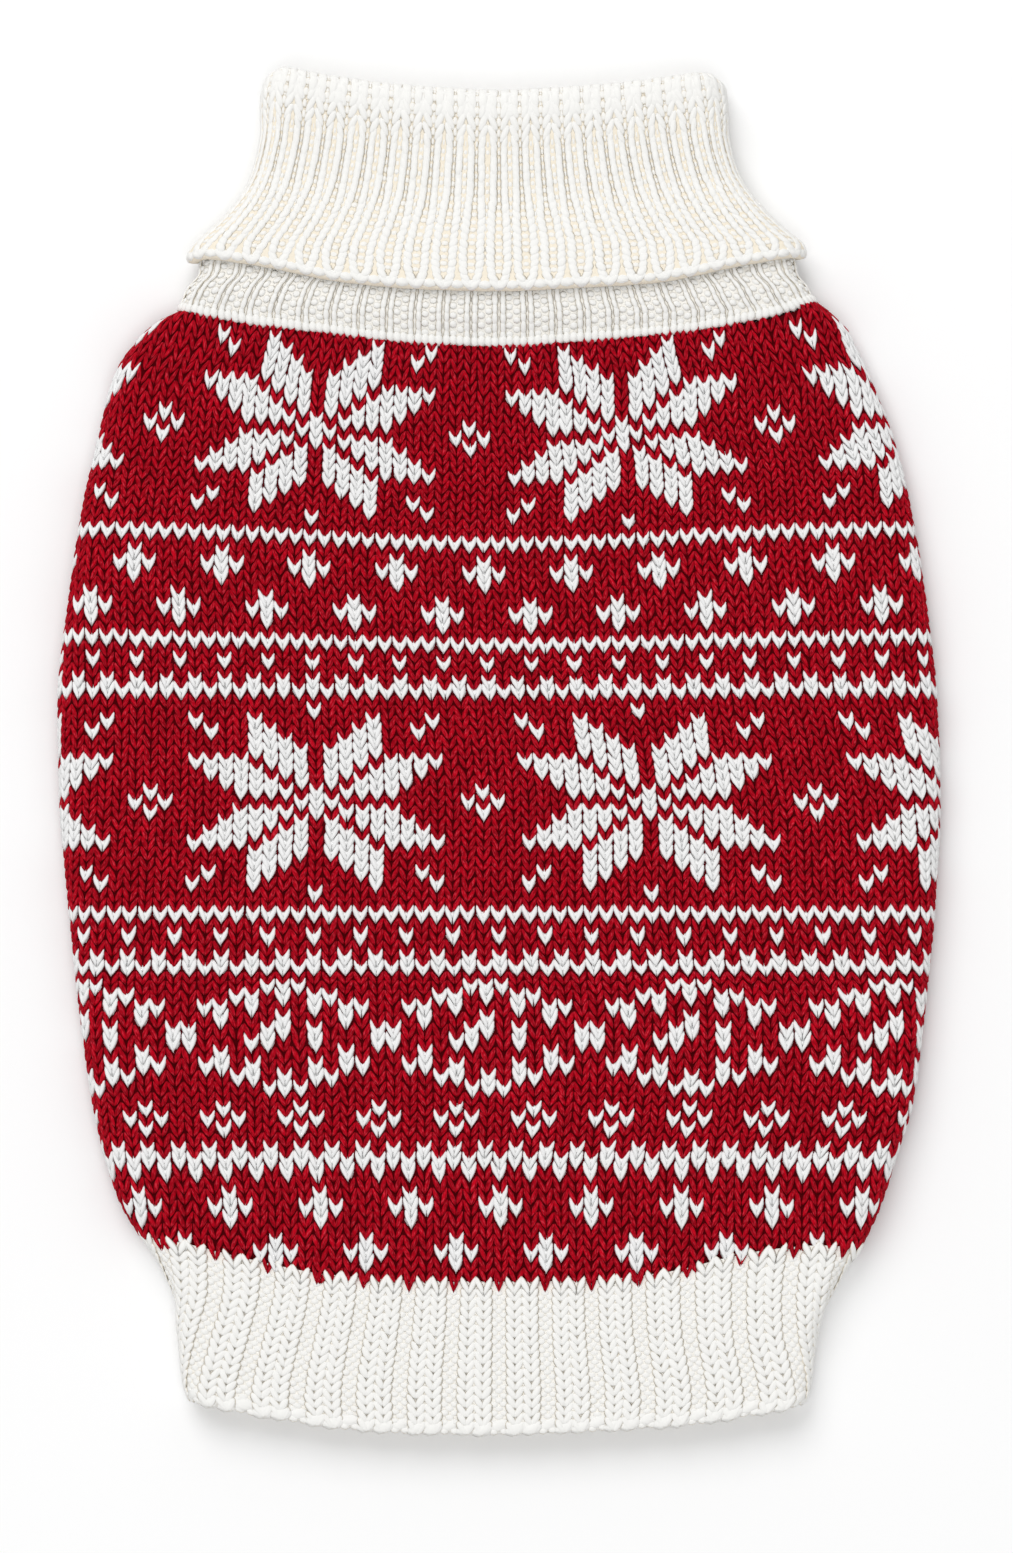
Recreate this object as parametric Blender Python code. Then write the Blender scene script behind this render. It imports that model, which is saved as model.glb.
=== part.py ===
"""Knitted turtleneck sweater for a dog, lying flat on its belly side.

The garment is a tube of cloth that lies flat: a back panel on top, a belly panel under it with two
leg openings, a turned-down rib collar and a rib hem. Sizes are millimetres until a mesh is made.
The origin is under the middle of the garment, +Y points to the collar and +Z up.
"""

from collections import namedtuple

import bmesh
import bpy
import numpy as np
from mathutils import Matrix, Vector

MM = 0.001

# Driving sizes
WALL = 3.0  # knitted cloth of the back, the belly and the collar's stand
TURNED_WALL = 3.2  # turned-down layer of the collar
HEM_WALL = 3.4  # rib band, over the tops of its ribs
SEAM_GAP = 0.3  # between pieces that are sewn together
COLLAR_GAP = 0.5  # between the collar's stand and its turned-down layer
SIDE_SEAM = np.radians(108)  # round the side fold from its top, where back and belly meet

COLLAR_RIBS = 24  # on the upper side, from fold to fold
COLLAR_RIB_DEPTH = 1.0
STAND_RIB_DEPTH = 0.7
HEM_RIBS = 14
HEM_RIB_DEPTH = 1.1
HEM_SCALLOP = 1.0  # how far a rib's end stands past the trough beside it

LEG_HALF_WIDTH = 23.0  # of the hole inside its cuff
LEG_HALF_LENGTH = 30.0
LEG_ACROSS = 56.0  # from the middle line to the middle of the hole
LEG_ALONG = 58.0
CUFF_BAND = 11.0
CUFF_THICKNESS = 3.0

# The outline of the body and hem from above. y is the place along the garment, left and right are
# the distances of the two side folds from the middle line.
Outline = namedtuple("Outline", "y left right")
BODY_OUTLINE = [
    Outline(-208.2, 90.6, 89.8),
    Outline(-202.5, 92.6, 91.8),
    Outline(-197.5, 95.6, 94.6),
    Outline(-192.0, 97.0, 95.7),
    Outline(-180.0, 98.2, 97.2),
    Outline(-168.0, 99.5, 101.3),
    Outline(-160.0, 102.4, 105.5),
    Outline(-152.5, 106.8, 110.4),
    Outline(-146.5, 111.2, 113.6),
    Outline(-137.5, 116.2, 117.4),
    Outline(-125.0, 120.3, 121.2),
    Outline(-107.0, 124.4, 126.6),
    Outline(-76.5, 128.6, 130.5),
    Outline(-46.0, 131.7, 133.4),
    Outline(-15.5, 134.2, 134.8),
    Outline(15.0, 134.8, 133.9),
    Outline(45.5, 131.6, 130.5),
    Outline(76.0, 126.9, 125.4),
    Outline(94.5, 122.6, 120.7),
    Outline(108.0, 119.5, 115.6),
    Outline(117.5, 115.9, 111.7),
    Outline(123.5, 111.6, 108.6),
    Outline(127.5, 108.0, 106.8),
    Outline(131.0, 103.5, 103.7),
    Outline(133.7, 98.2, 101.0),
    Outline(136.5, 95.5, 97.0),
]
COLLAR_OUTLINE = [
    Outline(144.5, 95.5, 94.4),
    Outline(150.2, 94.7, 93.5),
    Outline(154.0, 92.7, 92.4),
    Outline(158.0, 88.8, 88.1),
    Outline(164.0, 83.4, 82.3),
    Outline(170.5, 79.3, 77.8),
    Outline(178.5, 76.6, 74.1),
    Outline(186.0, 74.7, 72.0),
    Outline(199.0, 72.9, 69.8),
    Outline(204.0, 71.6, 68.5),
    Outline(208.2, 67.2, 64.2),
]
STAND_OUTLINE = [
    Outline(133.7, 98.2, 99.4),
    Outline(137.0, 96.8, 96.6),
    Outline(141.0, 94.6, 94.2),
    Outline(145.0, 91.0, 90.6),
    Outline(150.2, 90.4, 89.4),
    Outline(154.0, 88.8, 88.2),
    Outline(158.0, 85.0, 84.2),
    Outline(164.0, 79.6, 78.4),
    Outline(170.5, 75.5, 74.0),
    Outline(178.5, 72.8, 70.3),
    Outline(199.0, 69.1, 66.0),
    Outline(204.0, 67.8, 64.7),
    Outline(208.2, 63.4, 60.4),
]

# The height of the top over the surface, at the side folds and along the middle line.
Height = namedtuple("Height", "y side middle")
BODY_HEIGHT = [
    Height(-208.2, 12.6, 12.4),
    Height(-162.0, 13.4, 12.6),
    Height(-120.0, 15.0, 12.0),
    Height(60.0, 15.0, 12.0),
    Height(108.0, 15.4, 13.4),
    Height(137.0, 16.0, 15.6),
]
COLLAR_HEIGHT = [
    Height(139.0, 20.0, 20.6),
    Height(160.0, 19.4, 20.0),
    Height(208.2, 18.6, 19.0),
]

# Edges that cross the garment, as places along it. across runs from the left fold, -1, to the
# right fold, 1.
Edge = namedtuple("Edge", "across fold lip neck_seam hem_seam hem_end")
EDGES = [
    Edge(-1.00, 205.8, 148.4, 133.7, -148.4, -198.2),
    Edge(-0.95, 208.0, 149.3, 132.8, -149.0, -199.4),
    Edge(-0.88, 207.4, 148.7, 131.3, -150.5, -200.8),
    Edge(-0.75, 205.8, 146.9, 129.2, -154.5, -203.0),
    Edge(-0.50, 203.2, 142.3, 126.4, -160.0, -206.6),
    Edge(-0.25, 201.6, 140.1, 123.7, -161.8, -208.0),
    Edge(0.00, 200.8, 139.5, 122.8, -162.1, -208.2),
    Edge(0.25, 201.6, 140.5, 124.3, -161.8, -207.4),
    Edge(0.50, 202.9, 142.0, 126.4, -158.8, -206.2),
    Edge(0.63, 203.9, 144.1, 127.9, -155.0, -205.2),
    Edge(0.75, 205.0, 146.6, 130.1, -152.2, -203.8),
    Edge(0.88, 206.1, 148.7, 133.1, -151.0, -201.6),
    Edge(0.95, 206.0, 149.6, 135.3, -151.4, -200.4),
    Edge(1.00, 203.8, 149.7, 136.5, -152.2, -199.2),
]

# How finely the cloth is divided
FOLD_STEPS = 5  # over a panel's side fold
FLAT_STEPS = 30  # across a panel's flat stretch
PANEL_ROWS = 20  # along a panel
RIB_RING = ((-0.26, 0.0), (-0.12, 1.0), (0.12, 1.0), (0.26, 0.0))  # (place in a rib, trough)
FINE_RIB_RING = ((0.0, 1.0), (0.24, 0.0), (0.76, 0.0))
# A rib tube's plain points on its underside, as turns: down its fold, then along the flat.
UNDER_TURNS = (1.035, 1.07, 1.11, 1.15, 1.2, 1.28, 1.36, 1.44, 1.52, 1.6, 1.7, 1.8, 1.9)

# Finishes: colour, roughness
RED_WOOL = ((0.46, 0.006, 0.022, 1.0), 0.9)
IVORY_WOOL = ((0.86, 0.84, 0.78, 1.0), 0.88)

Size = namedtuple("Size", "left right bottom side_top middle_top")
# One ring of a rib tube: where it lies, the tube's size there, how far inside the tube's outer
# face it is, how deep its troughs are, and how far they draw it back along the garment.
Station = namedtuple("Station", "place size_at inset depth drawn")


def curve(rows, column):
    """A smooth function through one column of a table, with no overshoot between its rows."""
    at = np.array([row[0] for row in rows])
    value = np.array([getattr(row, column) for row in rows])
    steps = np.diff(value) / np.diff(at)
    slope = np.concatenate([steps[:1], np.zeros(len(at) - 2), steps[-1:]])
    same = steps[:-1] * steps[1:] > 0
    total = np.where(same, steps[:-1] + steps[1:], 1.0)
    slope[1:-1] = np.where(same, 2 * steps[:-1] * steps[1:] / total, 0.0)

    def read(x):
        x = np.clip(x, at[0], at[-1])
        i = np.clip(np.searchsorted(at, x, side="right") - 1, 0, len(at) - 2)
        span = at[i + 1] - at[i]
        t = (x - at[i]) / span
        start = (value[i] * (1 + 2 * t) + slope[i] * span * t) * (1 - t) ** 2
        end = (value[i + 1] * (3 - 2 * t) - slope[i + 1] * span * (1 - t)) * t**2
        return start + end

    return read


body_left, body_right = curve(BODY_OUTLINE, "left"), curve(BODY_OUTLINE, "right")
collar_left, collar_right = curve(COLLAR_OUTLINE, "left"), curve(COLLAR_OUTLINE, "right")
stand_left, stand_right = curve(STAND_OUTLINE, "left"), curve(STAND_OUTLINE, "right")
body_side, body_middle = curve(BODY_HEIGHT, "side"), curve(BODY_HEIGHT, "middle")
collar_side, collar_middle = curve(COLLAR_HEIGHT, "side"), curve(COLLAR_HEIGHT, "middle")
edge = {name: curve(EDGES, name) for name in Edge._fields[1:]}


def body_size(y):
    return Size(body_left(y), body_right(y), 0.0, body_side(y), body_middle(y))


def collar_size(y):
    return Size(collar_left(y), collar_right(y), 0.0, collar_side(y), collar_middle(y))


def stand_size(lowered):
    """The stand inside the turned-down layer; lowered, 0 to 1, brings it to the body's height."""

    def at(y):
        lift = (TURNED_WALL + COLLAR_GAP) * (1 - lowered)
        side = (collar_side(y) - lift) * (1 - lowered) + body_side(y) * lowered
        middle = (collar_middle(y) - lift) * (1 - lowered) + body_middle(y) * lowered
        return Size(stand_left(y), stand_right(y), lift, side, middle)

    return at


def on_tube(size, turn, inset):
    """(x, z) on a flattened tube, inset from its outer face.

    turn is 0 along the middle of the top, 1 at the right fold, -1 at the left one, and 2 or -2
    under the middle.
    """
    half = np.where(turn < 0, size.left, size.right)
    radius = (size.side_top - size.bottom) / 2
    straight = half - radius
    way = np.abs(turn)
    along = np.where(way <= 1, way, 2 - way) * (straight + radius * np.pi / 2)
    bend = np.maximum(along - straight, 0) / radius
    flat = np.minimum(along, straight)
    x = np.sign(turn) * (flat + (radius - inset) * np.sin(bend))
    rise = (radius - inset) * np.cos(bend)
    share = flat / straight
    sag = (size.side_top - size.middle_top) * (1 - share**2 * (3 - 2 * share))
    centre = (size.side_top + size.bottom) / 2
    return x, np.where(way <= 1, centre + rise - sag, centre - rise)


def turn_at(half, radius, bend):
    """The turn that is a bend, in radians, round the side fold from its top."""
    run = half - radius + radius * np.pi / 2
    if bend <= np.pi / 2:
        return (half - radius + radius * bend) / run
    return 2 - (half - radius + radius * (np.pi - bend)) / run


def ring(place, size_at, turns, inset):
    """Points round the tube whose place along the garment is place(across)."""
    y = place(np.clip(turns, -1, 1))
    for _ in range(4):
        size = size_at(y)
        x, _ = on_tube(size, turns, 0.0)
        y = place(x / np.where(turns < 0, size.left, size.right))
    x, z = on_tube(size_at(y), turns, inset)
    return np.column_stack([x, y, z])


def between(start, end, share, shift=0.0):
    """The line a share of the way from one edge to another, shifted along the garment."""
    return lambda across: edge[start](across) * (1 - share) + edge[end](across) * share + shift


def loft(name, sections, closed, finish, collection):
    """A solid through closed sections: closed on itself like a tyre, or capped at its two ends."""
    bm = bmesh.new()
    loops = [[bm.verts.new(Vector(point) * MM) for point in section] for section in sections]
    count = len(loops[0])
    pairs = list(zip(loops, loops[1:]))
    if closed:
        pairs.append((loops[-1], loops[0]))
    for near, far in pairs:
        for i in range(count):
            bm.faces.new((near[i], near[i - 1], far[i - 1], far[i]))
    if not closed:
        for cap in (loops[0], loops[-1]):
            for i in range(count // 2 - 1):
                bm.faces.new((cap[i], cap[i + 1], cap[-2 - i], cap[-1 - i]))
    bmesh.ops.recalc_face_normals(bm, faces=bm.faces)
    return finished(name, bm, finish, collection)


def finished(name, bm, finish, collection):
    """Makes a node of a bmesh, shaded smooth but for its sharp edges."""
    mesh = bpy.data.meshes.new(name)
    bm.to_mesh(mesh)
    bm.free()
    mesh.shade_smooth()
    mesh.set_sharp_from_angle(angle=np.radians(50))
    mesh.materials.append(finish)
    piece = bpy.data.objects.new(name, mesh)
    collection.objects.link(piece)
    return piece


def wool(name, look):
    colour, roughness = look
    finish = bpy.data.materials.new(name)
    finish.use_nodes = True
    shader = finish.node_tree.nodes["Principled BSDF"]
    shader.inputs["Base Color"].default_value = colour
    shader.inputs["Roughness"].default_value = roughness
    shader.inputs["Metallic"].default_value = 0.0
    return finish


def panel_turns(y_left, y_right, side_bend, flat_bend):
    """Turns across a panel: up or down its left fold, over its flat stretch, and its right fold."""
    left, right = body_size(y_left), body_size(y_right)
    seam = turn_at(left.left, left.side_top / 2, side_bend)
    flat = turn_at(left.left, left.side_top / 2, flat_bend)
    far_flat = turn_at(right.right, right.side_top / 2, flat_bend)
    far_seam = turn_at(right.right, right.side_top / 2, side_bend)
    middle = 0.0 if flat_bend == 0.0 else 2.0
    half = FLAT_STEPS // 2
    return np.concatenate(
        [
            -np.linspace(seam, flat, FOLD_STEPS + 1),
            -np.linspace(flat, middle, half + 1)[1:],
            np.linspace(middle, far_flat, half + 1)[1:],
            np.linspace(far_flat, far_seam, FOLD_STEPS + 1)[1:],
        ]
    )


def panel(name, side_bend, flat_bend, finish, collection):
    """A layer of the body between its side seams, from the collar's seam to the hem's."""
    sections = []
    for share in (1 - np.cos(np.linspace(0, np.pi, PANEL_ROWS))) / 2:
        place = between("neck_seam", "hem_seam", share, (share - 0.5) * SEAM_GAP)
        turns = panel_turns(place(-1.0), place(1.0), side_bend, flat_bend)
        outer = ring(place, body_size, turns, 0.0)
        inner = ring(place, body_size, turns, WALL)
        sections.append(np.concatenate([outer, inner[::-1]]))
    return loft(name, sections, False, finish, collection)


def seam_bends():
    """Where the back panel ends and the belly panel starts, with the seam's gap between them."""
    half_gap = SEAM_GAP / (BODY_HEIGHT[2].side - 2 * WALL)
    return SIDE_SEAM - half_gap, SIDE_SEAM + half_gap


def rib_turns(ribs, pattern):
    """The turns round a rib tube with their troughs, 0 to 1, and where it has ribs at all."""
    points = {}
    for rib in range(-ribs // 2, ribs // 2 + 1):
        for place, trough in pattern:
            turn = (rib + place) * 2 / ribs
            if abs(turn) <= 1.0:
                points[round(turn, 6)] = (trough, 1.0)
    for turn in UNDER_TURNS:
        points[turn] = points[-turn] = (0.0, 0.0)
    points[2.0] = (0.0, 0.0)
    turns = np.array(sorted(points))
    trough, ribbed = np.array([points[turn] for turn in turns]).T
    return turns, trough, ribbed


def rib_tube(name, stations, ribs, pattern, finish, collection):
    """A tube of rib knit, lofted through its stations and closed on itself."""
    turns, trough, ribbed = rib_turns(ribs, pattern)
    sections = []
    for station in stations:
        sunk = trough if station.depth >= 0 else 1 - trough
        inset = station.inset + abs(station.depth) * sunk * ribbed
        section = ring(station.place, station.size_at, turns, inset)
        section[:, 1] += station.drawn * sunk * ribbed
        sections.append(section)
    return loft(name, sections, True, finish, collection)


def collar_stations():
    """The collar's cut: lip, turned-down face, fold, mouth, seam end, stand, and back to the lip."""
    reach = (TURNED_WALL + COLLAR_GAP + WALL) / 2  # radius of the fold at the mouth
    deep = COLLAR_RIB_DEPTH

    def turned(share, inset, depth, shift=0.0, drawn=0.0):
        place = between("lip", "fold", share, shift - reach * share)
        return Station(place, collar_size, inset, depth, drawn)

    def stand(share, inset, depth=0.0):
        """share is 0 at the lip's level and 1 at the fold, or down to -1 at the neck seam."""
        if share >= 0:
            return Station(between("lip", "fold", share, -reach * share), stand_size(0.0), inset, depth, 0.0)
        place = between("lip", "neck_seam", -share, -share * SEAM_GAP / 2)
        return Station(place, stand_size(share**2 * (3 + 2 * share)), inset, depth, 0.0)

    stations = [turned(0.0, TURNED_WALL * 0.55, 0.0), turned(0.0, 0.5, deep * 0.5, 0.8)]
    stations += [turned(share, 0.0, deep, 2.2 * (1 - share)) for share in (0.0, 0.25, 0.5, 0.75, 1.0)]
    for bend in np.radians((40, 75, 110, 145)):
        fade = deep * (1 - bend / np.pi)
        inset = reach * (1 - np.cos(bend))
        rise = reach * np.sin(bend)
        stations.append(turned(1.0, inset, fade * np.cos(bend / 2), rise, -fade * np.sin(bend)))
    stations += [stand(share, WALL) for share in (1.0, 0.6, 0.25, 0.0, -0.5, -1.0)]
    stations += [stand(-1.0, 0.0, -STAND_RIB_DEPTH), stand(-0.5, 0.0, -STAND_RIB_DEPTH)]
    stations += [stand(0.0, 0.0, -STAND_RIB_DEPTH / 2), stand(0.25, 0.0), stand(0.6, 0.0), stand(0.97, 0.0)]
    stations += [turned(0.97, TURNED_WALL, 0.0), turned(0.6, TURNED_WALL, 0.0)]
    stations += [turned(0.25, TURNED_WALL, 0.0), turned(0.0, TURNED_WALL, 0.0, 0.8)]
    return stations


def hem_stations():
    """The hem's cut: seam end, outer face, scalloped end and plain inner face."""

    def outer(share, inset, depth, shift=0.0, drawn=0.0):
        place = between("hem_seam", "hem_end", share, shift - (1 - share) * SEAM_GAP / 2)
        return Station(place, body_size, inset, depth, drawn)

    deep = HEM_RIB_DEPTH
    stations = [outer(0.0, 0.3, deep * 0.4)]
    stations += [outer(share, 0.0, deep) for share in (0.08, 0.35, 0.65)]
    stations += [outer(1.0, 0.0, deep, 1.6, HEM_SCALLOP), outer(1.0, 0.8, deep * 0.6, 0.3, HEM_SCALLOP)]
    stations += [outer(1.0, HEM_WALL * 0.6, 0.0, 0.0, HEM_SCALLOP)]
    stations += [outer(1.0, HEM_WALL, 0.0, 1.2), outer(0.6, HEM_WALL, 0.0), outer(0.0, HEM_WALL, 0.0)]
    return stations


def oval(name, across, half_width, half_length, collection):
    """A guide solid that cuts an oval hole through the belly panel."""
    bm = bmesh.new()
    bmesh.ops.create_cone(
        bm, cap_ends=True, segments=40, radius1=MM, radius2=MM, depth=4 * WALL * MM
    )
    scale = Matrix.Diagonal((half_width, half_length, 1.0, 1.0))
    move = Matrix.Translation((across * MM, LEG_ALONG * MM, 0.0))
    bmesh.ops.transform(bm, matrix=move @ scale, verts=bm.verts)
    mesh = bpy.data.meshes.new(name)
    bm.to_mesh(mesh)
    bm.free()
    guide = bpy.data.objects.new(name, mesh)
    guide.hide_render = True
    guide.display_type = "WIRE"
    collection.objects.link(guide)
    return guide


def leg_cuff(name, across, finish, collection):
    """A rib band round a leg opening: a flat oval ring with rounded rims."""
    bm = bmesh.new()
    rim = 0.6
    half = CUFF_THICKNESS / 2
    profile = [
        (0.0, rim - half),
        (0.0, half - rim),
        (rim, half),
        (CUFF_BAND - rim, half),
        (CUFF_BAND, half - rim),
        (CUFF_BAND, rim - half),
        (CUFF_BAND - rim, -half),
        (rim, -half),
    ]
    corners = [bm.verts.new((out, 0.0, up)) for out, up in profile]
    edges = [bm.edges.new((corners[i - 1], corners[i])) for i in range(len(corners))]
    bmesh.ops.spin(
        bm,
        geom=corners + edges,
        cent=(-LEG_HALF_WIDTH, 0, 0),
        axis=(0, 0, 1),
        angle=2 * np.pi,
        steps=40,
        use_merge=True,
    )
    stretch = LEG_HALF_LENGTH - LEG_HALF_WIDTH
    for vert in bm.verts:
        x, y = vert.co.x + LEG_HALF_WIDTH, vert.co.y
        y += stretch * y / np.hypot(x, y)
        vert.co = Vector((x + across, y + LEG_ALONG, vert.co.z + half)) * MM
    bmesh.ops.recalc_face_normals(bm, faces=bm.faces)
    return finished(name, bm, finish, collection)


def cut_leg_openings(belly, guides):
    """Cuts the belly panel round each cuff, a seam's gap outside it."""
    outside = CUFF_BAND + SEAM_GAP
    for side, across in (("left", -LEG_ACROSS), ("right", LEG_ACROSS)):
        guide = oval(
            f"leg_guide_{side}", across, LEG_HALF_WIDTH + outside, LEG_HALF_LENGTH + outside, guides
        )
        cut = belly.modifiers.new(f"leg_opening_{side}", "BOOLEAN")
        cut.operation = "DIFFERENCE"
        cut.object = guide


def collection_named(name):
    collection = bpy.data.collections.new(name)
    bpy.context.scene.collection.children.link(collection)
    return collection


def main():
    for item in list(bpy.data.objects):
        bpy.data.objects.remove(item)
    sweater = collection_named("dog_sweater")
    guides = collection_named("guides")
    red, ivory = wool("red_wool", RED_WOOL), wool("ivory_wool", IVORY_WOOL)
    back_end, belly_start = seam_bends()
    panel("back_panel", back_end, 0.0, red, sweater)
    belly = panel("belly_panel", belly_start, np.pi, red, sweater)
    cut_leg_openings(belly, guides)
    leg_cuff("leg_cuff_left", -LEG_ACROSS, ivory, sweater)
    leg_cuff("leg_cuff_right", LEG_ACROSS, ivory, sweater)
    rib_tube("collar", collar_stations(), COLLAR_RIBS, FINE_RIB_RING, ivory, sweater)
    rib_tube("hem_rib", hem_stations(), HEM_RIBS, RIB_RING, ivory, sweater)


main()
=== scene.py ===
"""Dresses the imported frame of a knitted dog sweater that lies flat.

Every stitch is a strand of yarn laid on the cloth's own surface. Sizes are millimetres until a mesh is
made. The origin is under the middle of the garment, +Y points to the collar and +Z up out of the back.
"""

from collections import namedtuple

import bmesh
import bpy
import numpy as np
from bpy.props import FloatProperty, FloatVectorProperty, PointerProperty
from mathutils import Matrix, Vector


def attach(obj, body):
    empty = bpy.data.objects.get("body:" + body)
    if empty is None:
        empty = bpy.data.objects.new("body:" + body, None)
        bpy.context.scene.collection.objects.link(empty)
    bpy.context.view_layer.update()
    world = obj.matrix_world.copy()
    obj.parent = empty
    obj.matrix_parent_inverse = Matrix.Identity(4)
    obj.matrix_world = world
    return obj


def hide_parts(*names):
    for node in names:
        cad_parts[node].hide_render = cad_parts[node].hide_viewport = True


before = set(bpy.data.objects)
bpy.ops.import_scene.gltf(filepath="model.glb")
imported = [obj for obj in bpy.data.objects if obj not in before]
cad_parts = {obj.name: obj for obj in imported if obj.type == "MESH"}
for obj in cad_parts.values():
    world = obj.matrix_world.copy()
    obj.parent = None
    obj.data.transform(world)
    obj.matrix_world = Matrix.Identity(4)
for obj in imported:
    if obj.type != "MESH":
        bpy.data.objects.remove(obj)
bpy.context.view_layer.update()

bl_info = {
    "name": "Knitted dog sweater",
    "version": (1, 0, 0),
    "blender": (4, 5, 0),
    "location": "3D View > Sidebar > Sweater",
    "description": "Knits the stitches of a dog sweater over its plain solids and sets a studio",
    "category": "Object",
}

MM = 0.001
QUARTER = np.pi / 2

# The garment's walls, as its solids have them
WALL = 3.0
TURNED_WALL = 3.2
COLLAR_GAP = 0.5
SIDE_SEAM = np.radians(108)  # round the side fold from its top, where back and belly meet
FOLD_RADIUS = (TURNED_WALL + COLLAR_GAP + WALL) / 2  # at the collar's mouth
LIP_RADIUS = 1.6
COLLAR_RIBS = 24  # on the upper side, from fold to fold
HEM_RIBS = 14
LEG_HALF_WIDTH = 23.0
LEG_HALF_LENGTH = 30.0
LEG_ACROSS = 56.0
LEG_ALONG = 58.0
CUFF_BAND = 11.0
CUFF_THICKNESS = 3.0
SEAM_GAP = 0.3

# The outline of the body and hem from above. y is the place along the garment, left and right are
# the distances of the two side folds from the middle line.
Outline = namedtuple("Outline", "y left right")
BODY_OUTLINE = [
    Outline(-208.2, 90.6, 89.8),
    Outline(-202.5, 92.6, 91.8),
    Outline(-197.5, 95.6, 94.6),
    Outline(-192.0, 97.0, 95.7),
    Outline(-180.0, 98.2, 97.2),
    Outline(-168.0, 99.5, 101.3),
    Outline(-160.0, 102.4, 105.5),
    Outline(-152.5, 106.8, 110.4),
    Outline(-146.5, 111.2, 113.6),
    Outline(-137.5, 116.2, 117.4),
    Outline(-125.0, 120.3, 121.2),
    Outline(-107.0, 124.4, 126.6),
    Outline(-76.5, 128.6, 130.5),
    Outline(-46.0, 131.7, 133.4),
    Outline(-15.5, 134.2, 134.8),
    Outline(15.0, 134.8, 133.9),
    Outline(45.5, 131.6, 130.5),
    Outline(76.0, 126.9, 125.4),
    Outline(94.5, 122.6, 120.7),
    Outline(108.0, 119.5, 115.6),
    Outline(117.5, 115.9, 111.7),
    Outline(123.5, 111.6, 108.6),
    Outline(127.5, 108.0, 106.8),
    Outline(131.0, 103.5, 103.7),
    Outline(133.7, 98.2, 101.0),
    Outline(136.5, 95.5, 97.0),
]
COLLAR_OUTLINE = [
    Outline(144.5, 95.5, 94.4),
    Outline(150.2, 94.7, 93.5),
    Outline(154.0, 92.7, 92.4),
    Outline(158.0, 88.8, 88.1),
    Outline(164.0, 83.4, 82.3),
    Outline(170.5, 79.3, 77.8),
    Outline(178.5, 76.6, 74.1),
    Outline(186.0, 74.7, 72.0),
    Outline(199.0, 72.9, 69.8),
    Outline(204.0, 71.6, 68.5),
    Outline(208.2, 67.2, 64.2),
]
STAND_OUTLINE = [
    Outline(133.7, 98.2, 99.4),
    Outline(137.0, 96.8, 96.6),
    Outline(141.0, 94.6, 94.2),
    Outline(145.0, 91.0, 90.6),
    Outline(150.2, 90.4, 89.4),
    Outline(154.0, 88.8, 88.2),
    Outline(158.0, 85.0, 84.2),
    Outline(164.0, 79.6, 78.4),
    Outline(170.5, 75.5, 74.0),
    Outline(178.5, 72.8, 70.3),
    Outline(199.0, 69.1, 66.0),
    Outline(204.0, 67.8, 64.7),
    Outline(208.2, 63.4, 60.4),
]

# The height of the top over the surface, at the side folds and along the middle line.
Height = namedtuple("Height", "y side middle")
BODY_HEIGHT = [
    Height(-208.2, 12.6, 12.4),
    Height(-162.0, 13.4, 12.6),
    Height(-120.0, 15.0, 12.0),
    Height(60.0, 15.0, 12.0),
    Height(108.0, 15.4, 13.4),
    Height(137.0, 16.0, 15.6),
]
COLLAR_HEIGHT = [
    Height(139.0, 20.0, 20.6),
    Height(160.0, 19.4, 20.0),
    Height(208.2, 18.6, 19.0),
]

# Edges that cross the garment, as places along it. across runs from the left fold, -1, to the
# right fold, 1.
Edge = namedtuple("Edge", "across fold lip neck_seam hem_seam hem_end")
EDGES = [
    Edge(-1.00, 205.8, 148.4, 133.7, -148.4, -198.2),
    Edge(-0.95, 208.0, 149.3, 132.8, -149.0, -199.4),
    Edge(-0.88, 207.4, 148.7, 131.3, -150.5, -200.8),
    Edge(-0.75, 205.8, 146.9, 129.2, -154.5, -203.0),
    Edge(-0.50, 203.2, 142.3, 126.4, -160.0, -206.6),
    Edge(-0.25, 201.6, 140.1, 123.7, -161.8, -208.0),
    Edge(0.00, 200.8, 139.5, 122.8, -162.1, -208.2),
    Edge(0.25, 201.6, 140.5, 124.3, -161.8, -207.4),
    Edge(0.50, 202.9, 142.0, 126.4, -158.8, -206.2),
    Edge(0.63, 203.9, 144.1, 127.9, -155.0, -205.2),
    Edge(0.75, 205.0, 146.6, 130.1, -152.2, -203.8),
    Edge(0.88, 206.1, 148.7, 133.1, -151.0, -201.6),
    Edge(0.95, 206.0, 149.6, 135.3, -151.4, -200.4),
    Edge(1.00, 203.8, 149.7, 136.5, -152.2, -199.2),
]

# The stitches across the body: where column 0, the left star's middle, lies along the cloth from
# the middle line, and how wide a column is.
Gauge = namedtuple("Gauge", "y first pitch")
GAUGE = [
    Gauge(-165.0, -54.3, 4.58),
    Gauge(-139.5, -54.3, 4.58),
    Gauge(-125.2, -55.5, 4.64),
    Gauge(-112.4, -55.5, 4.72),
    Gauge(-85.6, -56.1, 4.79),
    Gauge(-56.6, -56.4, 4.70),
    Gauge(-16.0, -55.5, 4.61),
    Gauge(28.8, -57.0, 4.45),
    Gauge(42.2, -57.3, 4.46),
    Gauge(54.7, -57.9, 4.44),
    Gauge(86.8, -56.1, 4.33),
    Gauge(97.4, -55.7, 4.24),
    Gauge(111.2, -54.7, 4.18),
    Gauge(123.4, -52.5, 4.00),
    Gauge(135.0, -51.0, 3.90),
]

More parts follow.
